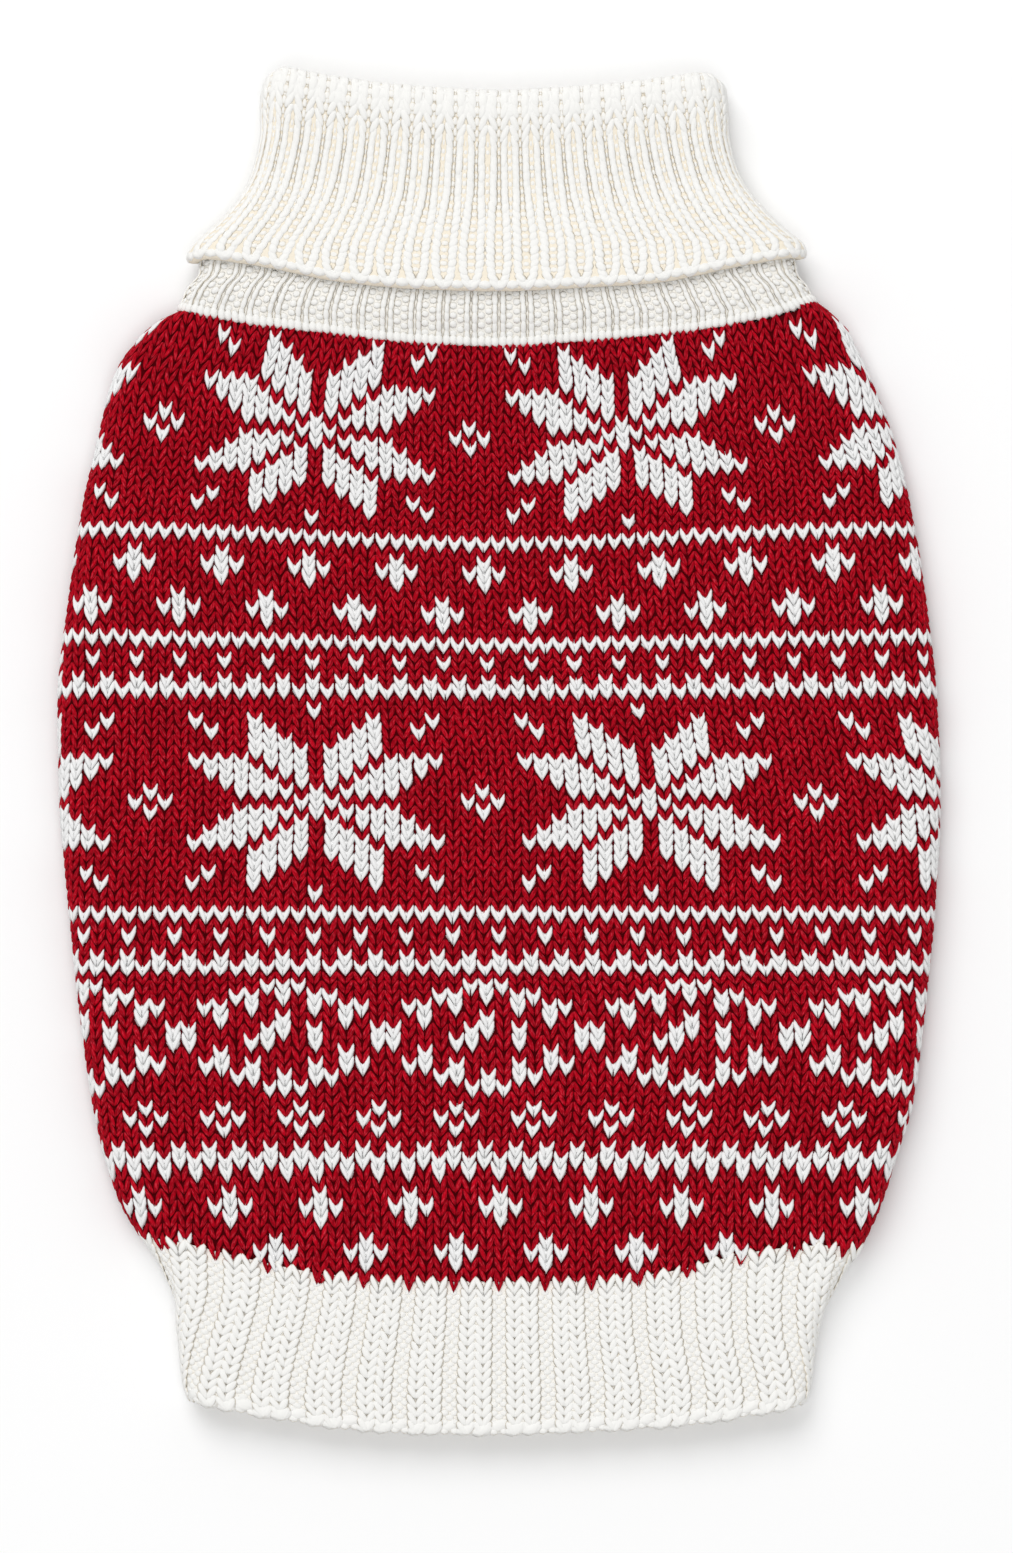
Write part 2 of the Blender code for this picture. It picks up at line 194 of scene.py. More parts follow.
# Where the rows lie, counted down from the upper stars' first row: on the middle line, some way
# from it, and at the side folds.
Row = namedtuple("Row", "row middle side fold")
ROWS = [
    Row(-8, 144.5, 150.5, 154.0),
    Row(0, 119.7, 126.1, 129.5),
    Row(8, 94.4, 99.3, 100.2),
    Row(19, 62.4, 66.6, 66.9),
    Row(29, 31.6, 33.7, 34.3),
    Row(34, 17.5, 18.1, 18.1),
    Row(45, -16.0, -16.0, -16.0),
    Row(56, -50.2, -50.2, -50.2),
    Row(61, -66.6, -66.6, -66.6),
    Row(63, -72.1, -72.1, -72.1),
    Row(72, -103.2, -103.2, -103.2),
    Row(75, -112.4, -112.4, -112.4),
    Row(79, -125.2, -125.2, -125.2),
    Row(83, -139.5, -139.5, -139.5),
    Row(87, -153.3, -153.3, -153.3),
    Row(97, -186.0, -186.0, -186.0),
]

# Charts of the white stitches, a row of knitting to a line. A band repeats its chart across the
# body, from a column that its first letter falls on.
STAR_HALF = [
    "x...........",
    "....x...x...",
    "...xx..x....",
    "..xxx.......",
    ".xxxx.......",
    ".xxx.xxxx...",
    ".xx.xxxx....",
    ".x.xxxx.....",
    "x.xxxx.....x",
    "xx........x.",
]
FLOWER = ["x.....", "xx...x", "x....."]
LATTICE = [
    ".....xxx.....",
    "...xx.x.xx...",
    ".xx.x...x.xx.",
    "..x...x...x..",
    "x....xx.x...x",
    "x...xx..x...x",
    "..x.......x..",
    ".xx.x...x.xx.",
    "...xx.x.xx...",
    ".....xxx.....",
]
DIAMOND = ["x....", ".x..x", "x...."]
ZIGZAG = ["x.", "xx", ".x"]


def star_chart():
    """The whole star and the dots beside it, from its half and the half's mirror image."""
    half = STAR_HALF + STAR_HALF[-2::-1]
    return [line + line[-2:0:-1] for line in half]


Band = namedtuple("Band", "row chart column")
BANDS = [
    Band(0, star_chart()[1:], 0),
    Band(19, ["x"], 0),
    Band(21, FLOWER, 0),
    Band(25, FLOWER, 3),
    Band(29, ["x"], 0),
    Band(31, ["x.."], 0),
    Band(33, ["x.", "xx"], 0),
    Band(36, star_chart(), 0),
    Band(56, ["x"], 0),
    Band(58, ["x.."], 0),
    Band(60, ["x.", "xx"], 0),
    Band(63, LATTICE, -8),
    Band(74, DIAMOND, -1),
    Band(78, ZIGZAG, -1),
    Band(82, FLOWER, 0),
    Band(86, FLOWER, 3),
]

# A strand of yarn, from its upper tip to its lower one: up the cloth in rows, out from the
# stitch's middle line and half its width in columns, and its top's height in millimetres.
Station = namedtuple("Station", "up out half top")
PLAIN_LEG = [
    Station(0.84, 0.480, 0.0, -0.75),
    Station(0.55, 0.420, 0.140, -0.40),
    Station(0.20, 0.325, 0.215, -0.10),
    Station(-0.15, 0.230, 0.225, 0.08),
    Station(-0.52, 0.130, 0.175, 0.14),
    Station(-0.84, 0.025, 0.0, 0.0),
]
SPARE_LEG = PLAIN_LEG[:2] + PLAIN_LEG[3:]  # with fewer faces, for the underside
BAND_LEG = [
    Station(1.00, 0.430, 0.0, -0.62),
    Station(0.72, 0.385, 0.135, -0.36),
    Station(0.34, 0.300, 0.220, -0.14),
    Station(-0.05, 0.205, 0.215, 0.0),
    Station(-0.46, 0.100, 0.130, 0.05),
    Station(-0.92, 0.005, 0.0, -0.10),
]
RIB_LEG = [
    Station(0.92, 0.0, 0.0, -0.55),
    Station(0.58, 0.0, 0.42, -0.15),
    Station(0.18, 0.0, 0.57, 0.0),
    Station(-0.22, 0.0, 0.57, 0.0),
    Station(-0.58, 0.0, 0.40, -0.08),
    Station(-0.86, 0.0, 0.0, -0.35),
]
SPARE_RIB_LEG = [RIB_LEG[0], RIB_LEG[2], RIB_LEG[3], RIB_LEG[5]]
YARN = 0.85  # how deep a strand is

# How strands and beads lie: factors of their own width, length and depth, their height over the face
# in millimetres, and how far they take on the painted pit shade, on top of their depth. A bead's own
# half sizes are a column, a row and a millimetre.
Lay = namedtuple("Lay", "wide tall deep lift shade", defaults=(0.0, 0.0))
PLAIN_V = Lay(1.0, 1.0, 1.0, -0.12)
BAND_V = Lay(1.0, 1.0, 1.0, 0.05)
BAND_FILLING = Lay(0.42, 0.62, 0.35, -0.72)
RIB_BEAD = Lay(1.0, 0.48, 0.4, -0.6, 0.2)
TROUGH_BEAD = Lay(1.0, 0.48, 0.4, -0.4, 0.35)
FOLD_BEAD = Lay(0.42, 1.0, 0.8, -0.7)
FOLD_TROUGH_BEAD = Lay(0.12, 0.5, 0.4, -0.75)
LIP_BEAD = Lay(0.28, 0.9, 1.0, -0.8)
STAND_STRAND = Lay(0.21, 1.0, 0.7)
STAND_BEAD = Lay(0.14, 0.42, 0.5, -0.75)
NECK_SEAM_BEAD = Lay(0.15, 0.72, 1.1, -0.6)
HEM_STRAND = Lay(0.165, 0.98, 0.5)
HEM_FIRST_V = Lay(0.37, 1.15, 0.6, 0.5)
HEM_BEAD = Lay(0.095, 0.46, 0.6, -0.95, 0.2)
HEM_MIDDLE_BEAD = Lay(0.10, 0.46, 0.6, -1.0, 0.2)
HEM_SEAM_V = Lay(0.24, 1.25, 1.0, -0.15)
CAST_OFF_LOOP = Lay(0.21, 0.9, 1.0)
CUFF_STRAND = Lay(0.46, 0.85, 1.0, -0.05)

# How much stitches differ from each other: standard deviations, as shares of their width and length,
# and otherwise in columns, rows and millimetres.
Spread = namedtuple("Spread", "tall up wide lean out lift")
SPREAD = Spread(tall=0.035, up=0.03, wide=0.04, lean=0.02, out=0.02, lift=0.05)
MOST_LIFT = 0.1  # that this may give a stitch

# The height of the cloth behind the stitches, from the outer face, and how thick it is.
Backing = namedtuple("Backing", "lift thickness")
BODY_BACKING = Backing(-0.75, 1.4)
COLLAR_BACKING = Backing(-0.35, 0.7)
STAND_BACKING = Backing(-0.8, 2.0)
HEM_BACKING = Backing(-0.33, 1.0)
HEM_RELIEF = 0.5  # how much deeper the hem's cloth lies between its ribs

# A soft change from one thing to another: the place where it starts and the stretch that it takes.
Change = namedtuple("Change", "start length")
ROWS_TO_SIDE = Change(0.0, 0.85)  # across the body, whose side folds lie at 1
ROWS_TO_FOLD = Change(0.7, 0.3)

# The cross section of a flattened tube: how far its side folds lie from the middle line, and the
# heights of its underside, of its top at the folds and of its top in the middle.
Size = namedtuple("Size", "left right bottom side_top middle_top")


def curve(rows, column):
    """A smooth function through one column of a table, with no overshoot between its rows."""
    at = np.array([row[0] for row in rows], float)
    value = np.array([getattr(row, column) for row in rows], float)
    steps = np.diff(value) / np.diff(at)
    slope = np.concatenate([steps[:1], np.zeros(len(at) - 2), steps[-1:]])
    same = steps[:-1] * steps[1:] > 0
    total = np.where(same, steps[:-1] + steps[1:], 1.0)
    slope[1:-1] = np.where(same, 2 * steps[:-1] * steps[1:] / total, 0.0)

    def read(x):
        x = np.clip(x, at[0], at[-1])
        i = np.clip(np.searchsorted(at, x, side="right") - 1, 0, len(at) - 2)
        span = at[i + 1] - at[i]
        t = (x - at[i]) / span
        start = (value[i] * (1 + 2 * t) + slope[i] * span * t) * (1 - t) ** 2
        end = (value[i + 1] * (3 - 2 * t) - slope[i + 1] * span * (1 - t)) * t**2
        return start + end

    return read


body_left, body_right = curve(BODY_OUTLINE, "left"), curve(BODY_OUTLINE, "right")
collar_left, collar_right = curve(COLLAR_OUTLINE, "left"), curve(COLLAR_OUTLINE, "right")
stand_left, stand_right = curve(STAND_OUTLINE, "left"), curve(STAND_OUTLINE, "right")
body_side, body_middle = curve(BODY_HEIGHT, "side"), curve(BODY_HEIGHT, "middle")
collar_side, collar_middle = curve(COLLAR_HEIGHT, "side"), curve(COLLAR_HEIGHT, "middle")
edge = {name: curve(EDGES, name) for name in Edge._fields[1:]}
first_column, column_pitch = curve(GAUGE, "first"), curve(GAUGE, "pitch")
row_middle, row_side, row_fold = curve(ROWS, "middle"), curve(ROWS, "side"), curve(ROWS, "fold")


def body_size(y):
    return Size(body_left(y), body_right(y), 0.0, body_side(y), body_middle(y))


def collar_size(y):
    return Size(collar_left(y), collar_right(y), 0.0, collar_side(y), collar_middle(y))


def stand_size(y, lowered):
    """The stand inside the turned-down layer; lowered, 0 to 1, brings it to the body's height."""
    lift = (TURNED_WALL + COLLAR_GAP) * (1 - lowered)
    side = (collar_side(y) - lift) * (1 - lowered) + body_side(y) * lowered
    middle = (collar_middle(y) - lift) * (1 - lowered) + body_middle(y) * lowered
    return Size(stand_left(y), stand_right(y), lift, side, middle)


def smooth(share):
    """A share, 0 to 1, with a soft start and end."""
    share = np.clip(share, 0, 1)
    return share**2 * (3 - 2 * share)


def changed(change, place):
    """How much of a change is done at a place, 0 to 1."""
    return smooth((place - change.start) / change.length)


def fold_sizes(size, along):
    """The half width, the side fold's radius and the flat stretch, on the side that along is on."""
    half = np.where(along < 0, size.left, size.right)
    radius = (size.side_top - size.bottom) / 2
    return half, radius, half - radius


def on_tube(size, along, lift):
    """(x, z) on a flattened tube, along it from the middle of its top and lifted off its face."""
    _, radius, straight = fold_sizes(size, along)
    way = np.abs(along)
    bend = np.clip((way - straight) / radius, 0, np.pi)
    flat = np.minimum(way, straight) - np.maximum(way - straight - np.pi * radius, 0)
    x = np.sign(along) * (flat + (radius + lift) * np.sin(bend))
    sag = (size.side_top - size.middle_top) * (1 - smooth(flat / straight)) * (bend < QUARTER)
    centre = (size.side_top + size.bottom) / 2
    return x, centre + (radius + lift) * np.cos(bend) - sag


def across_at(size, along):
    """The share of the way from the middle line to the side fold, -1 to 1."""
    x, _ = on_tube(size, along, 0.0)
    half, _, _ = fold_sizes(size, along)
    return np.clip(x / half, -1, 1)


def row_place(row, across):
    """Where a row lies along the garment, at a share of the way across."""
    way = np.abs(across)
    place = row_middle(row) + (row_side(row) - row_middle(row)) * changed(ROWS_TO_SIDE, way)
    return place + (row_fold(row) - row_side(row)) * changed(ROWS_TO_FOLD, way)


def body_point(column, row, lift):
    """A point of the body's knitting, by its column, its row and its height over the face."""
    y = row_place(row, 0.0)
    for _ in range(4):
        along = first_column(y) + column * column_pitch(y)
        y = row_place(row, across_at(body_size(y), along))
    along = first_column(y) + column * column_pitch(y)
    x, z = on_tube(body_size(y), along, lift)
    return np.stack([x, y, z], axis=-1)


def tube_run(size, turn):
    """The arc from the middle of the top to the side fold's outermost line."""
    _, radius, straight = fold_sizes(size, turn)
    return straight + radius * QUARTER


def rib_point(turn, place, size_at, lift):
    """A point on a rib tube. place(across) is where it lies along the garment."""
    y = place(np.clip(turn, -1, 1))
    for _ in range(4):
        size = size_at(y)
        y = place(across_at(size, turn * tube_run(size, turn)))
    size = size_at(y)
    x, z = on_tube(size, turn * tube_run(size, turn), lift)
    return np.stack([x, y, z], axis=-1)


# The collar's rows, from the lip up the turned-down face and over the fold into the mouth. share is
# how far up the face a row lies, and rise how far it stands off the plain face, in millimetres.
# out, width, lean and tall are those of a rib's two strands: how far they lie from its middle, how
# wide they are, how far they spread in a row, in columns, and how long they are. bead and trough
# are the half widths of the bumps between them, on the rib and in the trough beside it.
CollarRow = namedtuple("CollarRow", "row share rise out width lean tall bead trough")
COLLAR_ROWS = [
    CollarRow(0.0, 0.000, 0.8, 0.36, 0.36, 0.20, 1.1, 0.0, 0.13),
    CollarRow(1.5, 0.054, 0.7, 0.25, 0.36, 0.10, 1.1, 0.0, 0.14),
    CollarRow(3.0, 0.108, 0.5, 0.19, 0.35, 0.07, 1.0, 0.0, 0.15),
    CollarRow(8.4, 0.314, -0.8, 0.19, 0.36, 0.08, 1.0, 0.03, 0.15),
    CollarRow(13.0, 0.502, -2.0, 0.255, 0.34, 0.03, 1.3, 0.10, 0.11),
    CollarRow(18.0, 0.714, -1.7, 0.265, 0.34, 0.04, 1.4, 0.11, 0.07),
    CollarRow(19.0, 0.757, -1.4, 0.25, 0.32, 0.12, 1.2, 0.07, 0.07),
    CollarRow(20.0, 0.816, -0.9, 0.22, 0.36, 0.20, 1.0, 0.0, 0.10),
    CollarRow(22.0, 0.941, -0.1, 0.22, 0.42, 0.17, 1.0, 0.0, 0.15),
    CollarRow(23.0, 1.000, 0.0, 0.23, 0.46, 0.05, 1.3, 0.0, 0.17),
]
FACE_ROWS = 23
FOLD_ROWS = 8  # knitted past the fold
FOLD_ROW = 3.4  # height of a row past the fold
LIP_ROW = 2.0  # height of a row round the lip
LIP_CLOTH_ROWS = 1.5  # how far the cloth goes round the lip
MOUTH_DEPTH = 14.0  # how far the outer face's knitting is followed into the collar's mouth

# Where the collar changes along its rows.
TROUGHS_OPEN = Change(8, 5)
TROUGHS_CLOSE = Change(16, 4)
TROUGHS_SHALLOW = Change(17, 4)
RIBS_ROUND_OFF = Change(22.8, 1.5)  # over the fold
RISE_ENDS = Change(0.95, 0.3)  # round the side folds, which lie at 1
FOLD_FILLED = range(22, 28)  # rows whose ribs are filled out
COLLAR_STRAND_DEPTH = 0.6
LEAST_BEAD = 0.02  # half width under which a bead is left out

# How deep the troughs between the ribs are, and how much deeper each change makes them.
Depth = namedtuple("Depth", "plain open shallow round_off")
BEAD_DEPTH = Depth(0.2, 0.2, -0.1, 0.15)
CLOTH_DEPTH = Depth(0.12, 0.2, 0.0, 0.3)

collar_row = {name: curve(COLLAR_ROWS, name) for name in CollarRow._fields[1:]}


def trough_depth(depth, row):
    """How deep the collar's troughs are at a row."""
    opened = changed(TROUGHS_OPEN, row) * (1 - changed(TROUGHS_CLOSE, row))
    deepened = depth.plain + depth.open * opened + depth.shallow * changed(TROUGHS_SHALLOW, row)
    return deepened + depth.round_off * changed(RIBS_ROUND_OFF, row)


def collar_point(column, row, lift):
    """A point on the collar's outer side. Columns are ribs, counted from right to left."""
    turn = -column * 2 / COLLAR_RIBS
    face = collar_row["share"](row)
    lift = lift + collar_row["rise"](row) * (1 - changed(RISE_ENDS, np.abs(turn)))
    past = np.maximum(row - FACE_ROWS, 0) * FOLD_ROW
    bend = np.minimum(past / FOLD_RADIUS, np.pi)
    inside = np.maximum(past - np.pi * FOLD_RADIUS, 0)
    roll = np.maximum(-row, 0) * LIP_ROW / LIP_RADIUS
    rise = (FOLD_RADIUS + lift) * np.sin(bend) - inside - (LIP_RADIUS + lift) * np.sin(roll)
    depth = FOLD_RADIUS - (FOLD_RADIUS + lift) * np.cos(bend)
    depth = np.where(roll > 0, LIP_RADIUS - (LIP_RADIUS + lift) * np.cos(roll), depth)

    def place(across):
        low = edge["lip"](across) + LIP_RADIUS
        high = edge["fold"](across) - FOLD_RADIUS
        return low + (high - low) * face

    base = rib_point(turn, place, collar_size, -depth)
    base[..., 1] += rise
    return base


STAND_ROWS = 6  # from the lip's level down to the neck seam
STAND_HIDDEN_ROWS = 3  # knitted above the lip's level
STAND_RISE = 0.9  # how much the stand swells out under the lip
STAND_REACH = 3.4  # the stand's cloth, as a multiple of the part that shows
STAND_STRAND_OUT = 0.14  # of a rib's two strands, from its middle
STAND_BEAD_OUT = 0.13  # of the two beads in a trough, from its middle
STAND_BEAD_STEP = 0.25  # how far one of the two lies above its row and the other below
NECK_SEAM_BEADS = (-0.14, 0.14, 0.38, 0.62)  # their places across a rib
NECK_SEAM_ROW = STAND_ROWS - 0.5


def stand_point(column, row, lift):
    """A point on the collar's stand, which shows below the turned-down layer."""
    turn = column * 2 / COLLAR_RIBS
    share = row / STAND_ROWS
    lowered = smooth(share)

    def place(across):
        return edge["lip"](across) + (edge["neck_seam"](across) - edge["lip"](across)) * share

    lift = lift + STAND_RISE * (1 - smooth(share))
    return rib_point(turn, place, lambda y: stand_size(y, lowered), lift)


HEM_ROWS = 17
HEM_TIGHT = 0.09  # how much closer the ribs of the middle lie at the hem seam than all round it
HEM_FAN = 0.21  # how much they spread apart again on the way to the hem's end
HEM_V_OUT = 1 / 6  # of a rib's two columns of V stitches, from its middle
HEM_STRAND_OUT = 0.083  # of a V's two strands, from its middle
HEM_STRAND_LEAN = 0.085
HEM_FIRST_ROW = 0.55
HEM_BEAD_OUT = 0.1
HEM_BEAD_LOWER = 0.8  # rows below its own, and so on for the bead in the middle of a trough
HEM_MIDDLE_BEAD_LOWER = 0.3
HEM_SEAM_ROW = 0.2
CAST_OFF_LEAN = 0.08
# The cast-off edge's loops in a rib: place across, rows below the last one and height.
CAST_OFF = [(0.0, -0.8, -1.1), (0.33, -0.4, -0.8), (0.67, -0.4, -0.8)]


def hem_point(column, row, lift):
    """A point on the hem. Columns are ribs, and rows count down from the hem seam."""
    turn = column * 2 / HEM_RIBS
    share = row / HEM_ROWS
    turn = turn * (1 + (HEM_FAN * share - HEM_TIGHT) * (1 - (turn / 2) ** 4))

    def place(across):
        return edge["hem_seam"](across) + (edge["hem_end"](across) - edge["hem_seam"](across)) * share

    return rib_point(turn, place, body_size, lift)


CUFF_STITCHES = 44
CUFF_ROWS = 4
CUFF_HEM = 0.3  # rows at each edge that have no cloth behind them


def cuff_point(across):
    """Points on the lower side of the band round a leg opening; rows count in from its rim."""

    def at(column, row, lift):
        angle = column * 2 * np.pi / CUFF_STITCHES
        out = LEG_HALF_WIDTH + CUFF_BAND * (1 - row / CUFF_ROWS)
        x = out * np.cos(angle) + across
        y = (out + LEG_HALF_LENGTH - LEG_HALF_WIDTH) * np.sin(angle) + LEG_ALONG
        return np.stack([x, y, -lift], axis=-1)

    return at


# --- Strands -----------------------------------------------------------------------------------

# A shaped strand: its points, its faces' corners and where each face starts in them, how deep each
# point is sunk, the corners' places along and round the thread, and which faces are shaded smooth.
Strand = namedtuple("Strand", "points loops starts sinks threads round_faces")


def strand_from(bm, threads, foot=()):
    """The strand that a bmesh has the shape of. foot has the points of its foot, shaded flat."""
    bmesh.ops.recalc_face_normals(bm, faces=bm.faces)
    bm.verts.ensure_lookup_table()
    points = np.array([vert.co[:] for vert in bm.verts])
    sinks = (points[:, 2].max() - points[:, 2]) / np.ptp(points[:, 2])
    loops, starts, thread, round_faces = [], [], [], []
    for face in bm.faces:
        starts.append(len(loops))
        round_faces.append(any(vert.index not in foot for vert in face.verts))
        around = [threads[vert.index][1] for vert in face.verts]
        for vert, angle in zip(face.verts, around):
            wrap = 2 * np.pi if max(around) - angle > np.pi else 0.0
            loops.append(vert.index)
            thread.append((threads[vert.index][0], angle + wrap))
    bm.free()
    loops, starts, thread, round_faces = map(np.array, (loops, starts, thread, round_faces))
    return Strand(points, loops, starts, sinks, thread, round_faces)


def leg(stations, sides):
    """A strand that bulges over its stations: a sphere whose rings take their places.

    Its section is an arch. The arch's flat foot lies in the cloth behind the stitches.
    """
    rings = len(stations) - 1
    bm = bmesh.new()
    bmesh.ops.create_uvsphere(bm, u_segments=sides, v_segments=rings, radius=1.0)
    crown = np.sin(np.pi / (sides - 1) * (sides // 2))
    threads, foot = [], set()
    for vert in bm.verts:
        station = stations[round(np.arccos(np.clip(vert.co.z, -1, 1)) / np.pi * rings)]
        if station.half == 0.0:
            vert.co = Vector((station.out, station.up, station.top - YARN / 3))
            threads.append((station.up, QUARTER))
            foot.add(vert.index)
            continue
        step = round(np.arctan2(vert.co.y, vert.co.x) / (2 * np.pi) * sides) % sides
        if step in (0, sides - 1):
            foot.add(vert.index)
        angle = step * np.pi / (sides - 1)
        out = station.half * np.cos(angle)
        drop = YARN * (1 - np.sin(angle) / crown)
        vert.co = Vector((station.out + out, station.up, station.top - drop))
        threads.append((station.up, angle))
    return strand_from(bm, threads, foot)


def bead(sides, rings):
    """A round purl bump of half size 1 that lies across the column."""
    bm = bmesh.new()
    bmesh.ops.create_uvsphere(bm, u_segments=sides, v_segments=rings, radius=1.0)
    bmesh.ops.rotate(bm, verts=bm.verts, cent=(0, 0, 0), matrix=Matrix.Rotation(QUARTER, 3, "Y"))
    threads = [(vert.co.x, np.arctan2(vert.co.z, vert.co.y) % (2 * np.pi)) for vert in bm.verts]
    return strand_from(bm, threads)


def mirrored(strand):
    """The same strand on the other side of its stitch, its faces still pointing out."""
    ends = np.append(strand.starts[1:], len(strand.loops))
    order = np.concatenate([np.arange(a, b)[::-1] for a, b in zip(strand.starts, ends)])
    points = strand.points * (-1, 1, 1)
    return strand._replace(points=points, loops=strand.loops[order], threads=strand.threads[order])


class Knitting:
    """Strands of one yarn, gathered into one mesh."""

    def __init__(self, seed):
        self.random = np.random.default_rng(seed)
        self.points, self.loops, self.starts = [], [], []
        self.threads, self.tones, self.sinks, self.round_faces = [], [], [], []
        self.point_count = 0
        self.loop_count = 0

    def add(self, strand, surface, column, row, lay, lean=0.0):
        """Lays a copy of the strand at each column and row of a knitted surface."""
        column, row = np.broadcast_arrays(np.atleast_1d(column).astype(float), row)
        count = column.size
        if count == 0:
            return
        loose = bpy.context.scene.sweater_stitches.unevenness

        def each(spread):
            return self.random.normal(0, spread * loose, count)[:, None]

        parts = (np.broadcast_to(part, count)[:, None] for part in (*lay, lean))
        wide, tall, deep, lift, shade, lean = parts
        u, v, w = strand.points.T
        up = v * tall * (1 + each(SPREAD.tall)) + each(SPREAD.up)
        out = u * wide * (1 + each(SPREAD.wide)) + v * (lean + each(SPREAD.lean) * wide)
        out = out + each(SPREAD.out) * wide
        height = w * deep + lift + np.minimum(each(SPREAD.lift), MOST_LIFT)
        points = surface(column.reshape(-1, 1) + out, row.reshape(-1, 1) - up, height)
        self.points.append(points.reshape(-1, 3))
        shift = self.point_count + np.arange(count)[:, None] * len(u)
        self.loops.append((strand.loops + shift).ravel())
        shift = self.loop_count + np.arange(count)[:, None] * len(strand.loops)
        self.starts.append((strand.starts + shift).ravel())
        thread = np.repeat(strand.threads[None], count, axis=0)
        thread[..., 0] += self.random.uniform(0, 200, (count, 1))
        self.threads.append(thread.reshape(-1, 2))
        self.tones.append(np.repeat(self.random.uniform(0, 1, count), len(u)))
        self.sinks.append((strand.sinks + shade).ravel())
        self.round_faces.append(np.tile(strand.round_faces, count))
        self.point_count += count * len(u)
        self.loop_count += count * len(strand.loops)

    def piece(self, name, finish, slot):
        """One mesh of all the strands, riding on the garment."""
        mesh = bpy.data.meshes.new(name)
        mesh.vertices.add(self.point_count)
        mesh.vertices.foreach_set("co", (np.concatenate(self.points) * MM).ravel())
        mesh.loops.add(self.loop_count)
        mesh.loops.foreach_set("vertex_index", np.concatenate(self.loops))
        starts = np.concatenate(self.starts)
        mesh.polygons.add(len(starts))
        mesh.polygons.foreach_set("loop_start", starts)
        mesh.update(calc_edges=True)
        mesh.uv_layers.new(name="thread").data.foreach_set("uv", np.concatenate(self.threads).ravel())
        for attribute, values in (("tone", self.tones), ("sink", self.sinks)):
            data = mesh.attributes.new(attribute, "FLOAT", "POINT").data
            data.foreach_set("value", np.concatenate(values))
        mesh.polygons.foreach_set("use_smooth", np.concatenate(self.round_faces))
        mesh.materials.append(finish)
        piece = bpy.data.objects.new(name, mesh)
        bpy.context.scene.collection.objects.link(piece)
        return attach(piece, "root")


# --- Finishes ----------------------------------------------------------------------------------


def node(tree, kind, **values):
    """A shader node with its named inputs set, or linked where the value is a socket."""
    made = tree.nodes.new(kind)
    for name, value in values.items():
        socket = made.inputs[name.replace("_", " ")]
        if isinstance(value, bpy.types.NodeSocket):
            tree.links.new(value, socket)
        else:
            socket.default_value = value
    return made


def mix(tree, factor, low, high, blend="MIX"):
    made = tree.nodes.new("ShaderNodeMix")
    made.data_type = "RGBA"
    made.blend_type = blend
    for socket, value in ((made.inputs[0], factor), (made.inputs[6], low), (made.inputs[7], high)):
        if isinstance(value, bpy.types.NodeSocket):
            tree.links.new(value, socket)
        else:
            socket.default_value = value
    return made.outputs[2]


def ramp(tree, value, low, high, start=0.0, end=1.0):
    made = node(tree, "ShaderNodeMapRange", Value=value)
    made.inputs["From Min"].default_value = low
    made.inputs["From Max"].default_value = high
    made.inputs["To Min"].default_value = start
    made.inputs["To Max"].default_value = end
    made.interpolation_type = "SMOOTHSTEP"
    return made.outputs["Result"]


def attribute(tree, name):
    made = tree.nodes.new("ShaderNodeAttribute")
    made.attribute_name = name
    return made.outputs["Fac"]


def fibres(tree, length, width, slant):
    """Fine streaks that run along a strand at a slant, as the twist of its plies gives them."""
    thread = tree.nodes.new("ShaderNodeUVMap")
    thread.uv_map = "thread"
    turned = node(tree, "ShaderNodeMapping", Vector=thread.outputs["UV"])
    turned.vector_type = "TEXTURE"
    turned.inputs["Rotation"].default_value = (0, 0, slant)
    turned.inputs["Scale"].default_value = (length, width, 1)
    noise = node(tree, "ShaderNodeTexNoise", Vector=turned.outputs["Vector"], Scale=1.0, Detail=3.0)
    return noise.outputs["Fac"]


def mottle(tree, size):
    """Soft patches over the whole piece, size across, in metres."""
    place = tree.nodes.new("ShaderNodeTexCoord")
    place = place.outputs["Object"]
    return node(tree, "ShaderNodeTexNoise", Vector=place, Scale=1 / size, Detail=2.0).outputs["Fac"]


def woolly(name, colour, roughness):
    """A material with a matt woolly shader, with its tree and shader."""
    finish = bpy.data.materials.new(name)
    finish.use_nodes = True
    tree = finish.node_tree
    shader = tree.nodes["Principled BSDF"]
    shader.inputs["Base Color"].default_value = colour
    shader.inputs["Roughness"].default_value = roughness
    shader.inputs["Specular IOR Level"].default_value = 0.05
    return finish, tree, shader


def bumped(tree, shader, height, strength, distance):
    bump = node(tree, "ShaderNodeBump", Height=height, Strength=strength, Distance=distance)
    tree.links.new(bump.outputs["Normal"], shader.inputs["Normal"])


